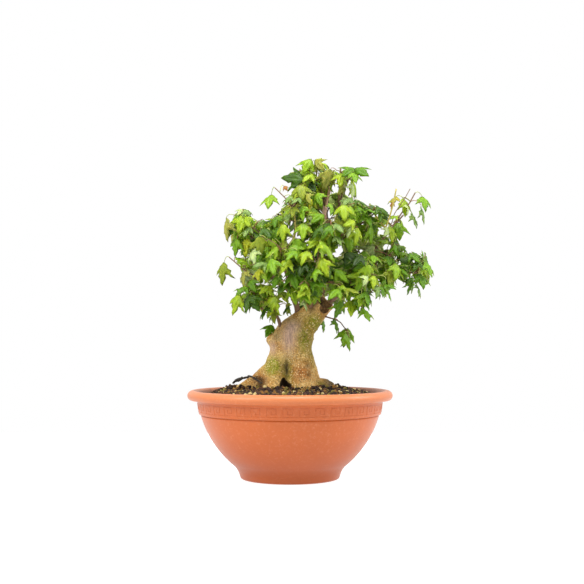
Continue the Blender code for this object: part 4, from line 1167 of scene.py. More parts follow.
class BONSAI_OT_trunk(bpy.types.Operator):
    """Lofts the trunk with its bark's relief, its arch and its sawn, rotted top"""

    bl_idname = "bonsai.trunk"
    bl_label = "Trunk"

    def execute(self, context):
        settings = context.scene.bonsai_bark
        sides = settings.sides
        angles = np.arange(sides) * math.tau / sides
        rows = smooth_stations(settings.rows)
        buried = np.repeat(rows[:1], len(BURIED_HEIGHTS), axis=0)
        buried[:, 0] = BURIED_HEIGHTS
        rows = np.concatenate([buried, rows])
        walls = trunk_points(rows, angles)
        middle = walls[-1].mean(0)
        shares = (1 - (np.arange(1, CAP_RINGS) / CAP_RINGS))[:, None, None]
        cap = middle + (walls[-1] - middle) * shares
        sheet = np.concatenate([walls, cap])
        points = sheet.reshape(-1, 3)
        round_way = np.roll(sheet, -1, axis=1) - np.roll(sheet, 1, axis=1)
        up_way = np.gradient(sheet, axis=0)
        normals = np.cross(round_way, up_way).reshape(-1, 3)
        normals /= np.linalg.norm(normals, axis=1, keepdims=True) + 1e-12
        out, cracks = trunk_relief(points, settings.plate)
        for centre, reach, proud in TRUNK_FORMS.values():
            out += proud * bulge_at(points, centre, reach)
        points = points + normals * out[:, None]
        points, arched = hollowed(points, ARCH_HOLLOWS)
        points, rotted = hollowed(points, ROTTED_HOLLOWS)
        crumbs = np.array([noise.noise(Vector(p) * 420) for p in points])
        points = points + normals * (crumbs * ROT_CRUMBS * rotted)[:, None]
        points = np.concatenate([points, [middle - [CAP_SUNK, 0, CAP_SUNK]]])
        last = (len(sheet) - 1) * sides
        here = np.arange(sides)
        tip = np.stack([last + here, last + (here + 1) % sides, here * 0 + len(points) - 1], 1)
        material = weathered_maple_bark(settings)
        faces = [grid_faces(len(sheet), sides), tip]
        made = piece("trunk_bark", points, faces, [material], ["trunk"])
        self.stain(made, points, cracks, arched, rotted)
        self.dead_root()
        return {"FINISHED"}

    def dead_root(self):
        """The dead, wrinkled root that stands out on the left."""
        black = young_maple_bark("dead_root_bark", linear("#2b2622"), linear("#4a4238"), 0.9)
        spots = [Vector(spot) for spot in DEAD_ROOT]
        shares = [k / DEAD_ROOT_STEPS for k in range(DEAD_ROOT_STEPS + 1)]
        route = [along_path(spots, share)[0] for share in shares]
        wrinkles = [noise.noise(spot * 330) for spot in route]
        radii = [DEAD_ROOT_RADIUS * (1 - 0.65 * t) * (1 + 0.9 * w) for t, w in zip(shares, wrinkles)]
        kinked = [spot + Vector((0, 0, DEAD_ROOT_KINK * wrinkles[-k])) for k, spot in enumerate(route)]
        tubes = Tubes()
        tubes.add(kinked, radii, 8)
        tubes.object("dead_root", [black])

    def stain(self, made, points, cracks, arched, rotted):
        """Where moss grows, the scar shows and the bark is redder, and how much painted shade darkens each
        point.
        """
        kinds = {kind: np.zeros(len(points)) for kind in STAINS}
        for kind, places in STAINS.items():
            for centre, reach, amount in places:
                kinds[kind] += amount * bulge_at(points, centre, reach)
        arched, rotted = np.append(arched, False), np.append(rotted, True)
        # The 'dark' marks are painted shade and start the depth, the amount of painted shade
        moss, scar, redder, depth = (kinds[kind] for kind in ("moss", "scar", "redder", "dark"))
        scar *= ~rotted
        redder += 0.30 * rotted
        # Painted shade in the cracks, under the arch and in the rotted hollow
        depth += 0.30 * np.append(cracks, 0) ** 2 + 0.95 * arched + 0.68 * rotted
        # Painted shade in the creases and gaps
        for name, amount in SHADED_FORMS.items():
            centre, reach, _ = TRUNK_FORMS[name]
            depth += amount * bulge_at(points, centre, reach)
        # Darker where the trunk goes into the soil
        depth += 0.7 * np.clip((GROUND + 0.003 - points[:, 2]) / 0.006, 0, 1)
        stains = np.clip(np.stack([moss, scar, redder, np.ones(len(points))], 1), 0, 1)
        mark(made, "stains", "FLOAT_COLOR", "POINT", stains.astype(np.float32).ravel())
        mark(made, "depth", "FLOAT", "POINT", np.clip(depth, 0, 1).astype(np.float32))


# Boughs


def bend(start, control, end, count):
    """Points of a quadratic curve."""
    shares = [i / (count - 1) for i in range(count)]
    return [start * (1 - t) ** 2 + control * 2 * t * (1 - t) + end * t * t for t in shares]


def along_path(points, share):
    """A point on the path at that share of its length, and the path's direction there."""
    place = min(max(share, 0.0), 1.0) * (len(points) - 1)
    i = min(int(place), len(points) - 2)
    return points[i].lerp(points[i + 1], place - i), (points[i + 1] - points[i]).normalized()


@functools.cache
def bough_route(name, count=BOUGH_POINTS):
    """The bough's points and radii, from inside what carries it to its tip."""
    parent, start, tip, base_radius, tip_radius, lift = BOUGHS[name]
    tip = Vector(tip)
    first = Vector(start) if parent == "trunk" else along_path(bough_route(parent)[0], start)[0]
    control = Vector(BOUGH_BENDS.get(name, (first + tip) / 2 + Vector((0, 0, lift))))
    points = bend(first, control, tip, count)
    radii = [base_radius + (tip_radius - base_radius) * i / (count - 1) for i in range(count)]
    return points, radii


def young_maple_bark(name, young, green, rough):
    """Smooth young bark: thin, slightly waxy, streaked, pitted with fine pores and ringed by old bud scars.
    """
    made, tree, shader = new_material(name, {"Base Color": young, "Roughness": rough, "IOR": 1.45})
    place = add_node(tree, "TexCoord").outputs["Object"]
    # Streaks 3 mm wide and 12 mm long
    drawn = add_node(tree, "Mapping", {"Scale": (1.0, 1.0, 0.25)}, {"Vector": place}).outputs[0]
    _, streaks = uneven(tree, drawn, 330.0, 4.0, 0.6, (0.36, 0.66))
    colour = layered(tree, young, [(streaks, green)])
    # Pores 0.8 mm wide
    pore = add_node(tree, "TexNoise", {"Scale": 1300.0, "Detail": 2.0}, {"Vector": place}).outputs["Fac"]
    bump = add_node(tree, "Bump", {"Strength": 0.4, "Distance": 0.0003}, {"Height": pore}).outputs[0]
    fill(tree, shader, {}, {"Base Color": colour, "Normal": bump})
    return made


class BONSAI_OT_boughs(bpy.types.Operator):
    """Grows bark on every bough, with its bud rings and wrinkles"""

    bl_idname = "bonsai.boughs"
    bl_label = "Boughs"

    def execute(self, context):
        settings = context.scene.bonsai_bark
        brown = young_maple_bark("young_maple_bark", settings.young, linear("#6e5138"), 0.72)
        finishes = {
            name: young_maple_bark(bark, linear(young), linear(streak), rough)
            for name, (bark, young, streak, rough) in YOUNG_SHOOTS.items()
        }
        for name in BOUGHS:
            self.bough(name, finishes.get(name, brown))
        return {"FINISHED"}

    def bough(self, name, finish):
        """A bough's bark: a ring wherever a bud once stood, and wrinkles 5 mm and 1 mm across."""
        coarse, girths = bough_route(name)
        fine, _ = bough_route(name, 33)
        length = sum((b - a).length for a, b in zip(coarse, coarse[1:]))
        shares = np.linspace(0, 1, max(24, round(length / 0.0011)))
        apart = 0.011 + 2.2 * girths[0]
        rings = np.exp(-(((shares * length) % apart - apart / 2) / 0.0011) ** 2)
        radii = np.interp(shares, np.linspace(0, 1, len(coarse)), girths) * (1 + BUD_RING * rings)
        route = [along_path(fine, share)[0] for share in shares]
        tubes = Tubes()
        tubes.add(route, radii, BOUGH_SIDES)
        points = np.concatenate(tubes.points)
        middles = np.repeat(np.array([tuple(spot) for spot in route]), BOUGH_SIDES, axis=0)
        spots = [Vector(point) for point in points]
        wrinkles = np.array([0.16 * noise.noise(p * 210) + 0.07 * noise.noise(p * 800) for p in spots])
        tubes.points = [middles + (points - middles) * (1 + wrinkles)[:, None]]
        tubes.object(name + "_bark", [finish], [name])


# Growth


def tube_sides(points, radii):
    """The sides of a three-sided tube, as a shape to keep clear of."""
    corners, faces = [], []
    for k, (point, radius) in enumerate(zip(points, radii)):
        heading = points[min(k + 1, len(points) - 1)] - points[max(k - 1, 0)]
        across = heading.orthogonal().normalized() * radius
        corners += [point + Matrix.Rotation(math.tau * n / 3, 3, heading) @ across for n in range(3)]
    for k in range(0, len(corners) - 3, 3):
        for n in range(3):
            m = (n + 1) % 3
            faces += [(k + n, k + m, k + 3 + m), (k + n, k + 3 + m, k + 3 + n)]
    return corners, faces


def tree_of(shapes):
    """A search tree of many shapes together."""
    corners, faces = [], []
    for points, triangles in shapes:
        faces += [tuple(len(corners) + k for k in triangle) for triangle in triangles]
        corners += points
    return BVHTree.FromPolygons(corners, faces)


class Space:
    """What the foliage may fill: each mass's own cell, clear of trunk, boughs and the other stems."""

    def __init__(self):
        self.names = list(MASSES)
        self.centres = np.array([MASSES[n][1] for n in self.names])
        self.sizes = np.array([MASSES[n][2] for n in self.names]) * SPACE_SCALE
        rows = smooth_stations(12)
        spine = np.stack([rows[:, 1], 0 * rows[:, 1], GROUND + rows[:, 0]], 1)
        self.starts = spine[:-1]
        self.runs = np.diff(spine, axis=0)
        self.girths = rows[:-1, 3:].max(1)
        self.limbs = [self.clear_of(*bough_route(name)) for name in BOUGHS]
        self.stems = {name: self.clear_of(*stem_route(name)) for name in MASSES}

    def clear_of(self, path, radii):
        """A limb's sides with its clearance added."""
        return tube_sides(path, [r + LIMB_CLEARANCE for r in radii])

    def within(self, name, points):
        """True if the points are all in this mass's space and nearer to it than to any other mass."""
        far = self.far(points)
        mine = self.names.index(name)
        others = np.delete(far, mine, axis=1).min(1)
        return bool((far[:, mine] <= 1).all() and (far[:, mine] + SPACE_GAP < others).all())

    def far(self, points):
        """How far each point lies from each mass's middle, where 1 is its skin."""
        offsets = (np.array(points)[:, None] - self.centres) / self.sizes
        return np.sqrt((offsets**2).sum(2))

    def clear_of_trunk(self, points):
        """Which points keep clear of the trunk."""
        gaps = np.array(points)[:, None] - self.starts
        share = np.clip((gaps * self.runs).sum(2) / (self.runs**2).sum(1), 0, 1)
        away = np.linalg.norm(gaps - share[..., None] * self.runs, axis=2)
        return (away > self.girths + TRUNK_CLEARANCE).all(1)

    def limbs_round(self, name):
        """The boughs and the other masses' stems, which this mass keeps clear of."""
        return tree_of(self.limbs + [stem for other, stem in self.stems.items() if other != name])


def stem_route(name):
    """The stem of a mass: on from its bough's tip, then into the middle of its space."""
    bough, centre, sizes, *_ = MASSES[name]
    path, radii = bough_route(bough)
    heading = (path[-1] - path[-2]).normalized()
    start = path[-1] + heading * SEAT
    lead = start + heading * LEAD_IN
    centre, sizes = Vector(centre), Vector(sizes)
    away = Vector((centre - lead)[i] / sizes[i] for i in range(3))
    away.normalize()
    end = centre + Vector(away[i] * sizes[i] for i in range(3)) * STEM_REACH
    control = lead + heading * (end - lead).length * 0.4
    points = [start] + bend(lead, control, end, STEM_POINTS)
    steps = len(points) - 1
    tip_radius = min(STEM_TIP_RADIUS, radii[-1] * STEM_SWELL)
    girth = [radii[-1] + (tip_radius - radii[-1]) * i / steps for i in range(len(points))]
    return points, girth


def twig_targets(name, rng):
    """Points spread evenly round the mass's space, those nearest the stem's foot first."""
    _, centre, sizes, filled, *_ = MASSES[name]
    a, b, c = sizes
    area = 4 / 3 * math.pi * (a * b + b * c + c * a)
    count = max(4, round(area * filled / TWIG_AREA))
    found = []
    for i in range(count):
        height = 1 - 2 * (i + 0.5) / count
        turn = GOLDEN_ANGLE * i + rng.uniform(-0.25, 0.25)
        flat = math.sqrt(1 - height * height)
        way = Vector((flat * math.cos(turn) * a, flat * math.sin(turn) * b, height * c))
        way = way * TWIG_REACH * rng.uniform(0.85, 1.15) + Vector((0, 0, TWIG_RISE * c))
        found.append(Vector(centre) + way)
    stem, _ = stem_route(name)
    heading = stem[-1] - stem[0]
    return sorted(found, key=lambda point: (point - stem[0]).dot(heading))


def outline_of(name):
    """The outline that a mass is seen inside."""
    return LOW_OUTLINE if name == "foliage_low_right" else CROWN_OUTLINE


def seen_inside(name, points):
    """True if all the points are seen inside the mass's outline."""
    return bool(inside(outline_of(name), seen_at(np.array(points))).all())


def seen_share(name):
    """How far along its stem a mass is still seen inside the crown's outline."""
    stem, _ = stem_route(name)
    seen = [share for share in STEM_ENDS if seen_inside(name, [along_path(stem, share)[0]])]
    return max(seen, default=SHORTEST_STEM)


def twig_routes(name, space, limbs, stem, rng):
    """The mass's twigs, in turn up its stem, without those that leave its space or touch a limb."""
    targets = twig_targets(name, rng)
    routes = []
    stem_end = seen_share(name)
    for i, target in enumerate(targets):
        place = 0.25 + 0.70 * i / (len(targets) - 1)
        if place > stem_end:
            continue
        start, heading = along_path(stem, place)
        reach = (target - start).length
        control = start + (heading * 0.5 + (target - start).normalized() * 0.5) * reach * 0.5
        path = bend(start, control, target, TWIG_POINTS)
        girth = list(np.linspace(*TWIG_RADII, TWIG_POINTS))
        free = space.within(name, path) and space.clear_of_trunk(path).all()
        if reach > SHORTEST_TWIG and free and not limbs.overlap(tree_of([tube_sides(path, girth)])):
            routes_in = [[along_path(path, end * k / 6)[0] for k in range(7)] for end in TWIG_ENDS]
            kept = [route for route in routes_in if seen_inside(name, route[3:])]
            if kept:
                routes.append((kept[0][::3], girth))
    return routes


# Leaves


def leaf_template():
    """A whole leaf as a closed thin blade: its points, its upper faces and its lower faces."""
    right = np.array(LEAF_CORNERS)
    mirrored = [k for k in range(len(right)) if k >= MIDRIB]
    left = right[mirrored] * (-1, 1, 1)
    top = np.concatenate([right, left])
    other = {k: k for k in range(MIDRIB)}
    other.update({k: len(right) + i for i, k in enumerate(mirrored)})
    faces = list(LEAF_FACES) + [tuple(other[k] for k in reversed(face)) for face in LEAF_FACES]
    margin = set(MARGIN) | {other[k] for k in MARGIN}
    inner = [k for k in range(len(top)) if k not in margin]
    below = top[inner] - (0, 0, BLADE_THICKNESS)
    under = {k: k for k in margin}
    under.update({k: len(top) + i for i, k in enumerate(inner)})
    lower = [tuple(under[k] for k in reversed(face)) for face in faces]
    return np.concatenate([top, below]), np.array(faces), np.array(lower), other


BLADE, UPPER_FACES, LOWER_FACES, LEFT_OF = leaf_template()
# The three chief veins, where the blade is creased
VEINS = ((0, 1, 2, 3, 4, 5), (0, 18, 19, 20, 11), (0, LEFT_OF[18], LEFT_OF[19], LEFT_OF[20], LEFT_OF[11]))
KEY_CORNERS = (0, 2, 4, 5, 8, 11, 14, LEFT_OF[8], LEFT_OF[11], LEFT_OF[14])
KEY_FACES = (
    (0, 4, 1), (4, 5, 1), (1, 5, 6), (1, 6, 2), (6, 3, 2), (0, 1, 7), (7, 1, 8), (1, 9, 8), (1, 2, 9),
    (9, 2, 3),
)


class Leaf:
    """A leaf: where its blade starts, the way it points and faces, its length, its shape and its colour."""

    def __init__(self, root, along, facing, length, shape, colour="mid"):
        self.root, self.length, self.shape, self.colour = root, length, shape, colour
        self.along = along.normalized()
        self.facing = (facing - self.along * facing.dot(self.along)).normalized()
        self.across = self.along.cross(self.facing)
        self.stalk = None

    def corners(self):
        """The blade's chief corners."""
        return leaf_corners([self], BLADE[list(KEY_CORNERS)])[0]


def leaf_corners(leaves, blade):
    """Every leaf's points: the blade folded, curled, twisted and drooped, then set in its place."""
    fold, curl, twist, droop, wide, swept = np.array([leaf.shape for leaf in leaves]).T[:, :, None]
    x, y, z = blade[:, 0] * wide, blade[:, 1] - swept * np.abs(blade[:, 0]), blade[:, 2] + 0 * wide
    z = z - fold * np.abs(x) - curl * x**2
    turn = twist * y
    x, z = x * np.cos(turn) - z * np.sin(turn), x * np.sin(turn) + z * np.cos(turn)
    droop = np.where(np.abs(droop) < 1e-3, 1e-3, droop)
    angle = droop * np.clip(y, 0, None)
    y_bent = np.sin(angle) / droop + z * np.sin(angle)
    z_bent = -(1 - np.cos(angle)) / droop + z * np.cos(angle)
    frames = np.array([[tuple(leaf.across), tuple(leaf.along), tuple(leaf.facing)] for leaf in leaves])
    local = np.stack([x, y_bent, z_bent], 2)
    sizes = np.array([leaf.length for leaf in leaves])[:, None, None]
    roots = np.array([tuple(leaf.root) for leaf in leaves])[:, None]
    return roots + (local @ frames) * sizes


def blade_samples(blades):
    """Points all over several blades, from their chief corners."""
    return np.concatenate([blades, blades[:, np.array(KEY_FACES)].mean(2)], 1)


class Crown:
    """The leaves hung so far, the wood that can carry more, and what a new leaf must keep clear of."""

    def __init__(self, space):
        self.space = space
        self.limbs = tree_of([tube_sides(*bough_route(name)) for name in BOUGHS])
        self.leaves, self.trees, self.middles = [], [], np.zeros((0, 3))
        self.shown = np.zeros((0, 3))
        self.wood, self.bearing, self.parents = [], {}, {}
        self.extra = {name: [] for name in MASSES}
        self.low = np.array(CAD_BOX[0]) - BOX_MARGIN
        self.high = np.array(CAD_BOX[1]) + BOX_MARGIN

    def carry(self, name, path):
        """Notes where a mass's wood runs, so that a shown leaf can be hung from it."""
        for share in WOOD_PLACES:
            self.wood.append((along_path(path, share)[0], name, path, share))

    def bear(self, path, share):
        """Notes that a limb bears a leaf that far along it, and so what carries the limb."""
        self.bearing[id(path)] = max(share, self.bearing.get(id(path), 0))
        if id(path) in self.parents:
            self.bear(*self.parents[id(path)])

    def front_at(self, column, row):
        """How deep the crown's front lies where it is seen at that place of the photograph."""
        start = np.array(placed_at(column, row, 0.0))
        run = np.array(placed_at(column, row, 1.0)) - start
        a, b = (start - self.space.centres) / self.space.sizes, run / self.space.sizes
        square, half = (b * b).sum(1), (a * b).sum(1)
        inner = half**2 - square * ((a * a).sum(1) - 1)
        depth = (-half - np.sqrt(np.maximum(inner, 0))) / square
        return float(depth[inner > 0].min()) if (inner > 0).any() else float(depth[inner.argmax()])

    def allowed(self, name, corners):
        """Which of several blades keep to the mass's space and outline, and hide nothing that must show."""
        flat = blade_samples(corners).reshape(-1, 3)
        mine = self.space.names.index(name)
        good = (flat > self.low).all(1) & (flat < self.high).all(1)
        good &= self.space.far(flat)[:, mine] * SPACE_SCALE < LEAF_SPACE
        good &= self.space.clear_of_trunk(flat)
        places = seen_at(flat)
        good &= inside(outline_of(name), places)
        gaps = (places[:, None] - np.array(SKY_GAPS)[:, :2]) / np.array(SKY_GAPS)[:, 2:]
        good &= (gaps**2).sum(2).min(1) > 1
        near = self.shown[(np.abs(self.shown[:, :2] - places.mean(0)) < NEIGHBOUR_PIXELS).all(1)]
        over = np.abs(places[:, None] - near[:, :2]).max(2) < HIDING_PIXELS
        good &= ~(over & (flat[:, 1, None] < near[:, 2] + 0.001)).any(1)
        return good.reshape(len(corners), -1).all(1)

    def clear(self, corners):
        """True if the blade crosses no bough and no other leaf."""
        shape = BVHTree.FromPolygons(corners.tolist(), KEY_FACES)
        if self.limbs.overlap(shape):
            return False
        near = np.linalg.norm(self.middles - corners.mean(0), axis=1) < NEIGHBOUR_LEAVES
        return not any(self.trees[i].overlap(shape) for i in np.nonzero(near)[0])

    def hang(self, name, leaf, shown=False):
        corners = leaf.corners()
        self.leaves.append((name, leaf))
        self.trees.append(BVHTree.FromPolygons(corners.tolist(), KEY_FACES))
        self.middles = np.concatenate([self.middles, [corners.mean(0)]])
        if shown:
            self.show(blade_samples(corners[None])[0])

    def show(self, samples):
        """Keeps these points in view."""
        places = np.concatenate([seen_at(samples), samples[:, 1:2]], 1)
        self.shown = np.concatenate([self.shown, places])

    def nearest_wood(self, point):
        gaps = np.linalg.norm(np.array([row[0] for row in self.wood]) - np.array(point), axis=1)
        node, owner, path, share = self.wood[int(gaps.argmin())]
        self.bear(path, share)
        return node, owner

    def shoot(self, places, radius, bark):
        """A bare shoot, drawn where the photograph shows it and joined to the nearest wood."""
        depth = self.front_at(*places[len(places) // 2]) + SHOOT_GAP
        if radius > THICK_SHOOT:
            depth = THICK_SHOOT_DEPTH
        path = [placed_at(column, row, depth) for column, row in places]
        node, owner = self.nearest_wood(path[-1])
        path = [node, *path[::-1]]
        steps = 4 * len(path)
        spots = [along_path(path, k / steps)[0] for k in range(steps + 1)]
        middles = [(a + b * 2 + c) / 4 for a, b, c in zip(spots, spots[1:], spots[2:])]
        route = [spots[0], *middles, spots[-1]]
        radii = list(np.linspace(radius * 1.15, radius * 0.9, len(route)))
        self.extra[owner].append((route, radii, 7, bark))
        self.show(np.array([tuple(spot) for spot in spots[4:]]))
        self.carry(owner, path)

    def place(self, root, tip, wide, colour, rng):
        """A leaf drawn where the photograph shows it, as near to the eye as it fits."""
        front = self.front_at((root[0] + tip[0]) / 2, (root[1] + tip[1]) / 2)
        wanted = rng.uniform(*SHOWN_LENGTH)
        droop = rng.uniform(0.2, 0.7)
        shape = (rng.uniform(0.0, 0.3), rng.uniform(0, 0.5), rng.uniform(-0.3, 0.3), droop, max(1.0, wide))
        shape += (rng.uniform(-0.1, 0.15),)
        for attempt in range(DEPTHS):
            depth = front + FRONT_GAP + DEPTH_STEP * attempt * (1 if attempt % 2 else -0.5)
            start, end = placed_at(*root, depth), placed_at(*tip, depth)
            run = end - start
            seen = run.length
            # A leaf that looks short leans towards the eye, unless it is a small one
            lean = min(math.acos(min(1.0, seen / wanted)), MOST_LEAN) if seen > 0.012 else 0.2
            along = run.normalized() * math.cos(lean) + Vector((0, -math.sin(lean), 0))
            length = seen / math.cos(lean) * droop / math.sin(droop) / BLADE_LENGTH
            start = start + Vector((0, math.sin(lean) * length * 0.5, 0))
            facing = Vector((0, -1, 0.4 * math.cos(lean)))
            facing = (facing - along * facing.dot(along)).normalized()
            if wide < 1:
                roll = math.acos(wide)
                turned = [Matrix.Rotation(way * roll, 3, along) @ facing for way in (1, -1)]
                outward = 0.4 if start.x > CROWN_CENTRE.x else -0.4
                facing = max(turned, key=lambda way: way.z + way.x * outward)
            leaf = Leaf(start, along, facing, length, shape, colour)
            corners = leaf.corners()
            if (corners > self.low).all() and (corners < self.high).all() and self.clear(corners):
                node, owner = self.nearest_wood(start)
                reach = (start - node).length
                if reach > LONGEST_STALK:
                    base = node.lerp(start, 1 - CARRIED_STALK / reach) + Vector((0, 0, 0.002))
                    middle = node.lerp(base, 0.5) + Vector((0, 0, 0.1 * reach))
                    self.extra[owner].append((bend(node, middle, base, 6), SHOOT_RADII, 5, "brown"))
                    node = base
                leave = (start - node).normalized() * 0.6 + Vector((0, -0.2, 0.6))
                leaf.stalk = stalk_route(node, leave.normalized(), start, leaf.along)
                self.hang(owner, leaf, True)
                return


def leaf_shape(rng):
    """How a blade folds, curls, twists and droops, how wide it is and how far its side lobes lie back."""
    return tuple(rng.uniform(*span) for span in LEAF_SHAPES)


def leaf_colour(name, tone, rng):
    """A plain colour for a leaf, near its spray's tone."""
    odd = rng.random()
    for share, colour in ODD_LEAVES:
        if odd < share:
            return colour
    place = (tone + rng.gauss(0, TONE_SPREAD)) * (len(GREENS) - 1)
    return GREENS[max(0, min(len(GREENS) - 1, round(place)))]


def stalk_route(node, leave, root, along):
    """A leaf stalk that leaves its twig along one way and comes into the blade along another."""
    reach = (root - node).length
    first, second = node + leave * reach * 0.45, root - along * reach * 0.35
    path = []
    for t in (0.0, 0.25, 0.5, 0.75, 1.0):
        s = 1 - t
        path.append(node * s**3 + first * 3 * s * s * t + second * 3 * s * t * t + root * t**3)
    return path


def try_bud(crown, name, node, heading, turn, tone, settings, rng):
    """Hangs a leaf from a bud by the first of several seeded ways that fits, and tells if one did."""
    outward = node - CROWN_CENTRE
    outward = Vector((outward.x * 0.7, outward.y * 1.5, outward.z * 0.5)).normalized()
    side = heading.orthogonal().normalized()
    front = -1 if node.y < 0.02 else 1
    tries = []
    for attempt in range(TRIES):
        wider = attempt / TRIES
        swing, size, fall, reach, rise = (rng.random() for _ in range(5))
        spread = Vector([rng.uniform(-0.5, 0.5) for _ in range(3)])
        sideways = Matrix.Rotation(turn + (swing - 0.5) * (1.0 + 4.5 * wider), 3, heading) @ side
        leave = (sideways + heading * 0.4 + outward * 0.5 + Vector((0, 0, 0.5 * rise))).normalized()
        root = node + leave * (STALK_LENGTH[0] + (STALK_LENGTH[1] - STALK_LENGTH[0]) * reach)
        along = leave * 0.5 + outward * 0.45 + spread * (0.9 + wider) + Vector((0, 0, -0.15 - 0.95 * fall))
        facing = outward * 0.5 + Vector((0, front * 0.75, 0.6)) + spread * (0.6 + wider)
        share = settings.smallest + (settings.largest - settings.smallest) * size * (1 - 0.2 * wider)
        leaf = Leaf(root, along, facing, settings.leaf_length * share, leaf_shape(rng))
        tries.append((leaf, leave))
    corners = leaf_corners([leaf for leaf, _ in tries], BLADE[list(KEY_CORNERS)])
    roots = np.array([tuple(leaf.root) for leaf, _ in tries])
    bows = (roots + np.array(node)) / 2 + np.array([tuple(leave * 0.003) for _, leave in tries])
    held = crown.allowed(name, corners)
    if name != "foliage_low_right":
        held &= inside(CROWN_OUTLINE, seen_at(roots)) & inside(CROWN_OUTLINE, seen_at(bows))
    for (leaf, leave), blade, fits in zip(tries, corners, held):
        if fits and crown.clear(blade):
            leaf.colour = leaf_colour(name, tone, rng)
            leaf.stalk = stalk_route(node, leave, leaf.root, leaf.along)
            crown.hang(name, leaf)
            return True
    return False


def side_shoots(name, space, limbs, path, rng):
    """Finer shoots in pairs on a twig."""
    found = []
    roll = rng.uniform(0, math.tau)
    for k, share in enumerate(SHOOT_PLACES):
        node, heading = along_path(path, share)
        for half in (0, 1):
            side = heading.orthogonal().normalized()
            side.rotate(Matrix.Rotation(roll + k * math.pi / 2 + half * math.pi, 3, heading))
            way = (side * 0.85 + heading * 0.6 + Vector((0, 0, 0.25))).normalized()
            reach = rng.uniform(*SHOOT_LENGTH)
            tip = node + way * reach + Vector((0, 0, reach * 0.15))
            shoot = bend(node, node + way * reach * 0.5, tip, SHOOT_POINTS)
            ends = shoot[1:]
            outside = (space.far(ends)[:, space.names.index(name)] > 1.0).any()
            if outside or not seen_inside(name, ends) or not space.clear_of_trunk(ends).all():
                continue
            if limbs.overlap(tree_of([tube_sides(ends, [0.0008] * len(ends))])):
                continue
            found.append((shoot, share))
    return found


def paired_buds(limb, shares, roll, tone):
    """Buds in opposite pairs along a limb, each pair set across the one before."""
    turns = [(share, roll + k * math.pi / 2) for k, share in enumerate(shares)]
    return [(limb, share, turn + half * math.pi, tone) for share, turn in turns for half in (0, 1)]


def grow_wood(name, space, crown):
    """The stem, the twigs and the finer shoots of one mass, and where they bear leaves."""
    rng = random.Random(MASSES[name][4])
    stem, stem_girth = stem_route(name)
    limbs = space.limbs_round(name)
    routes = twig_routes(name, space, limbs, stem, rng)
    stem_end = seen_share(name)
    stem = [along_path(stem, stem_end * k / 8)[0] for k in range(9)]
    tubes = [(stem, stem_girth, 8, "brown")]
    crown.carry(name, stem)
    buds = []
    for path, girth in routes:
        tubes.append((path, girth, 6, "brown"))
        crown.carry(name, path)
        tone = MASSES[name][5] + rng.gauss(0, 0.10)
        buds += paired_buds(path, BUD_PLACES, rng.uniform(0, math.tau), tone)
        for shoot, place in side_shoots(name, space, limbs, path, rng):
            tubes.append((shoot, SHOOT_RADII, 5, "brown"))
            crown.parents[id(shoot)] = (path, place)
            buds += paired_buds(shoot, SHOOT_BUDS, rng.uniform(0, math.tau), tone)
    for share in STEM_BUDS:
        buds += paired_buds(stem, [share], 0.0, MASSES[name][5])
    return tubes, buds


def grow_leaves(name, crown, buds, settings):
    """Hangs a mass's leaves, the outermost first."""
    rng = random.Random(MASSES[name][4] + 500)
    buds.sort(key=lambda bud: -(along_path(bud[0], bud[1])[0] - CROWN_CENTRE).length)
    hung = 0
    for path, share, turn, tone in buds:
        node, heading = along_path(path, share)
        if try_bud(crown, name, node, heading, turn, tone, settings, rng):
            crown.bear(path, share)
            hung += 1
        if hung >= LEAF_LIMITS.get(name, len(buds)):
            break


def bared(path, share):
    """A twig or shoot as far as its last leaf, curved through its points, or nothing if it bears none."""
    if share == 0:
        return None
    end = min(1.0, share + 0.04)
    if len(path) > TWIG_POINTS:
        return [along_path(path, end * k / 5)[0] for k in range(6)]
    first, through, last = path
    curve = bend(first, through * 2 - (first + last) / 2, last, 25)
    return [along_path(curve, end * k / 5)[0] for k in range(6)]


def leaf_blade(name, code, rough):
    """A thin waxy leaf: light soaks through it, its skin has a soft shine, and its green is uneven."""
    green = linear(code)
    values = {
        "Base Color": green,
        "Roughness": rough,
        "IOR": 1.40,
        "Specular IOR Level": 0.30,
        "Subsurface Weight": 0.20,
        "Subsurface Radius": (0.7, 1.0, 0.25),
        "Subsurface Scale": 0.0010,
    }
    made, tree, shader = new_material(name, values)
    place = add_node(tree, "TexCoord").outputs["Object"]
    # Fields between the veins, 6 mm across
    _, fields = uneven(tree, place, 165.0, 3.0, 0.6, (0.34, 0.66))
    darker = [c * share for c, share in zip(green, (0.78, 0.86, 0.80))]
    lighter = [c * share for c, share in zip(green, (1.24, 1.18, 1.10))]
    fill(tree, shader, {}, {"Base Color": layered(tree, darker, [(fields, lighter)])})
    return made


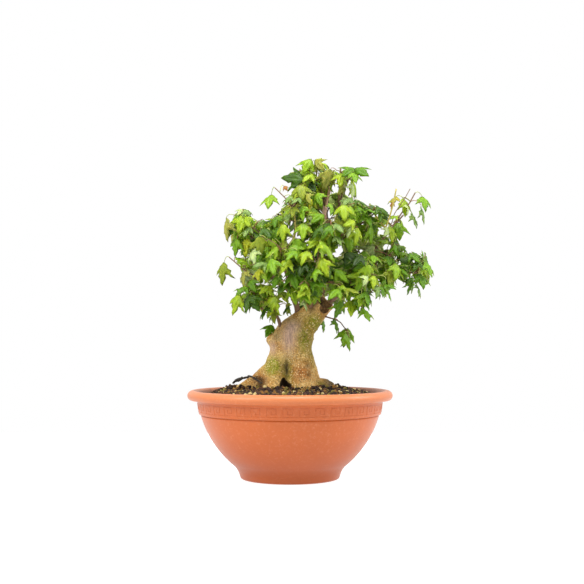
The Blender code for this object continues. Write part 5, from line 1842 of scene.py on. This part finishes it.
class BONSAI_OT_foliage(bpy.types.Operator):
    """Grows the twigs and hangs the leaves of every foliage mass"""

    bl_idname = "bonsai.foliage"
    bl_label = "Foliage"

    def execute(self, context):
        settings = context.scene.bonsai_foliage
        space = Space()
        crown = Crown(space)
        wood = {name: grow_wood(name, space, crown) for name in MASSES}
        rng = random.Random(settings.seed)
        for places, radius, kind in SHOWN_SHOOTS:
            crown.shoot(places, radius, kind)
        for column, row, tip_column, tip_row, wide, colour in SHOWN_LEAVES:
            crown.place((column, row), (tip_column, tip_row), wide, colour, rng)
        for name in MASSES:
            grow_leaves(name, crown, wood[name][1], settings)
        kinds = list(TWIG_BARKS)
        finishes = [
            young_maple_bark(bark, linear(young), linear(streak), rough)
            for bark, young, streak, rough in TWIG_BARKS.values()
        ]
        for name, code in LEAF_STALKS.items():
            finishes.append(new_material(name, {"Base Color": linear(code), "Roughness": 0.5})[0])
        uppers = [leaf_blade("leaf_" + name, code, 0.44) for name, code in LEAF_COLOURS.items()]
        lowers = [leaf_blade("leaf_" + name, code, 0.60) for name, code in UNDERSIDE_COLOURS.items()]
        for name in MASSES:
            leaves = [leaf for owner, leaf in crown.leaves if owner == name]
            tubes = Tubes()
            stem, *grown = wood[name][0]
            kept = [(bared(limb[0], crown.bearing.get(id(limb[0]), 0)), *limb[1:]) for limb in grown]
            for path, girth, sides, kind in [stem, *kept, *crown.extra[name]]:
                if path:
                    radii = np.interp(np.linspace(0, 1, len(path)), np.linspace(0, 1, len(girth)), girth)
                    tubes.add(path, radii, sides, kinds.index(kind))
            for k, leaf in enumerate(leaves):
                radii = np.linspace(*STALK_RADII, len(leaf.stalk))
                tubes.add(leaf.stalk, radii, 5, len(kinds) + (k % RED_STALK == 0))
            tubes.object(name + "_twigs", finishes, [name])
            self.hang(name, leaves, uppers, lowers)
        return {"FINISHED"}

    def hang(self, name, leaves, uppers, lowers):
        """One mesh of a mass's leaves, each with its own plain colour above and a paler one below."""
        colours = list(LEAF_COLOURS)
        points = leaf_corners(leaves, BLADE)
        faces, numbers = [], []
        for k, leaf in enumerate(leaves):
            first = k * len(BLADE)
            faces += [UPPER_FACES + first, LOWER_FACES + first]
            upper = colours.index(leaf.colour)
            lower = len(colours) + (leaf.colour in PALE_BELOW)
            numbers += [np.full(len(UPPER_FACES), upper), np.full(len(LOWER_FACES), lower)]
        points, faces, numbers = points.reshape(-1, 3), np.concatenate(faces), np.concatenate(numbers)
        finishes = uppers + lowers
        made = piece(name + "_leaves", points, faces, finishes, [name], face_materials=numbers)
        ends = np.empty(2 * len(made.data.edges), np.int32)
        made.data.edges.foreach_get("vertices", ends)
        ends = np.sort(ends.reshape(-1, 2) % len(BLADE), axis=1)
        creases = np.array([sorted(pair) for vein in VEINS for pair in zip(vein, vein[1:])])
        creased = (ends[:, None] == creases).all(2).any(1)
        mark(made, "sharp_edge", "BOOLEAN", "EDGE", creased)


# Stage


class BONSAI_OT_stage(bpy.types.Operator):
    """Sets the white floor, the soft light and the camera"""

    bl_idname = "bonsai.stage"
    bl_label = "Stage"

    def execute(self, context):
        settings = context.scene.bonsai_stage
        data = bpy.data.meshes.new("floor")
        corners = [(x, y, -0.0004) for x, y in ((-20, -20), (20, -20), (20, 0.7), (-20, 0.7))]
        data.from_pydata(corners, [], [(0, 1, 2, 3)])
        floor = stand("floor", data)
        # An opal table lit from below, as for cut-out pictures: it keeps its white where the bowl shades it
        opal = {"Base Color": settings.floor, "Roughness": 0.9, "Emission Color": (1, 1, 1)}
        opal["Emission Strength"] = settings.glow
        data.materials.append(new_material("opal_acrylic_table", opal)[0])
        world = bpy.data.worlds.new("white_surround")
        world.use_nodes = True
        tree = world.node_tree
        way = add_node(tree, "TexCoord").outputs["Generated"]
        _, deep, high = add_node(tree, "SeparateXYZ", links={0: way}).outputs
        # White paper behind and all round at the tree's height, a darker room above it in front
        front = add_node(tree, "MapRange", {1: -0.9, 2: 0.1, 3: settings.room, 4: settings.sky}, {0: deep})
        paper = add_node(tree, "MapRange", {1: 0.15, 2: 0.40, 3: settings.sky, 4: 0.0}, {0: high})
        both = {0: front.outputs[0], 1: paper.outputs[0]}
        level = add_node(tree, "Math", links=both, operation="MAXIMUM").outputs[0]
        fill(tree, tree.nodes["Background"], {"Color": (1, 1, 1)}, {"Strength": level})
        context.scene.world = world
        lights = (
            ("left_softbox", (-1.15, -0.90, 1.10), 0.8, settings.left_power),
            ("right_softbox", (1.45, -0.15, 1.00), 0.8, settings.right_power),
            ("top_softbox", (0.10, -0.55, 1.75), 1.0, settings.top_power),
        )
        for name, place, size, power in lights:
            light = bpy.data.lights.new(name, "AREA")
            light.size = size
            light.energy = power
            aim = Vector((0.02, 0, 0.24)) - Vector(place)
            stand(name, light, place, aim.to_track_quat("-Z", "Y").to_euler())
        width = PICTURE_SIDE * PIXEL
        middle = PICTURE_SIDE / 2
        view = bpy.data.cameras.new("camera")
        view.sensor_width = 36
        view.lens = 36 * EYE_DISTANCE / width
        rise = math.atan((EYE_ROW - middle) * PIXEL / EYE_DISTANCE)
        eye = ((middle - AXIS_COLUMN) * PIXEL, -EYE_DISTANCE, EYE_HEIGHT)
        context.scene.camera = stand("camera", view, eye, (math.pi / 2 + rise, 0, 0))
        context.scene.view_settings.view_transform = "Standard"
        return {"FINISHED"}


class BONSAI_PT_panel(bpy.types.Panel):
    """Lists the pieces of the bonsai."""

    bl_label = "Bonsai"
    bl_idname = "BONSAI_PT_panel"
    bl_space_type = "VIEW_3D"
    bl_region_type = "UI"
    bl_category = "Bonsai"

    def draw(self, context):
        for operator in OPERATORS:
            self.layout.operator(operator.bl_idname)
        for name in SETTINGS:
            box = self.layout.box()
            box.label(text=name.replace("bonsai_", "").capitalize())
            settings = getattr(context.scene, name)
            for key in settings.bl_rna.properties.keys():
                if key not in ("rna_type", "name"):
                    box.prop(settings, key)


OPERATORS = (
    BONSAI_OT_bowl,
    BONSAI_OT_band_ornament,
    BONSAI_OT_soil,
    BONSAI_OT_trunk,
    BONSAI_OT_boughs,
    BONSAI_OT_foliage,
    BONSAI_OT_stage,
)
SETTINGS = {
    "bonsai_bowl": BowlSettings,
    "bonsai_soil": SoilSettings,
    "bonsai_bark": BarkSettings,
    "bonsai_foliage": FoliageSettings,
    "bonsai_stage": StageSettings,
}


def register():
    for kind in (*SETTINGS.values(), *OPERATORS, BONSAI_PT_panel):
        bpy.utils.register_class(kind)
    for name, kind in SETTINGS.items():
        setattr(bpy.types.Scene, name, PointerProperty(type=kind))


def unregister():
    for name in SETTINGS:
        delattr(bpy.types.Scene, name)
    for kind in (BONSAI_PT_panel, *OPERATORS, *SETTINGS.values()):
        bpy.utils.unregister_class(kind)


def main():
    register()
    bpy.ops.bonsai.bowl()
    bpy.ops.bonsai.band_ornament()
    bpy.ops.bonsai.soil()
    bpy.ops.bonsai.trunk()
    bpy.ops.bonsai.boughs()
    bpy.ops.bonsai.foliage()
    bpy.ops.bonsai.stage()


if __name__ == "__main__":
    main()
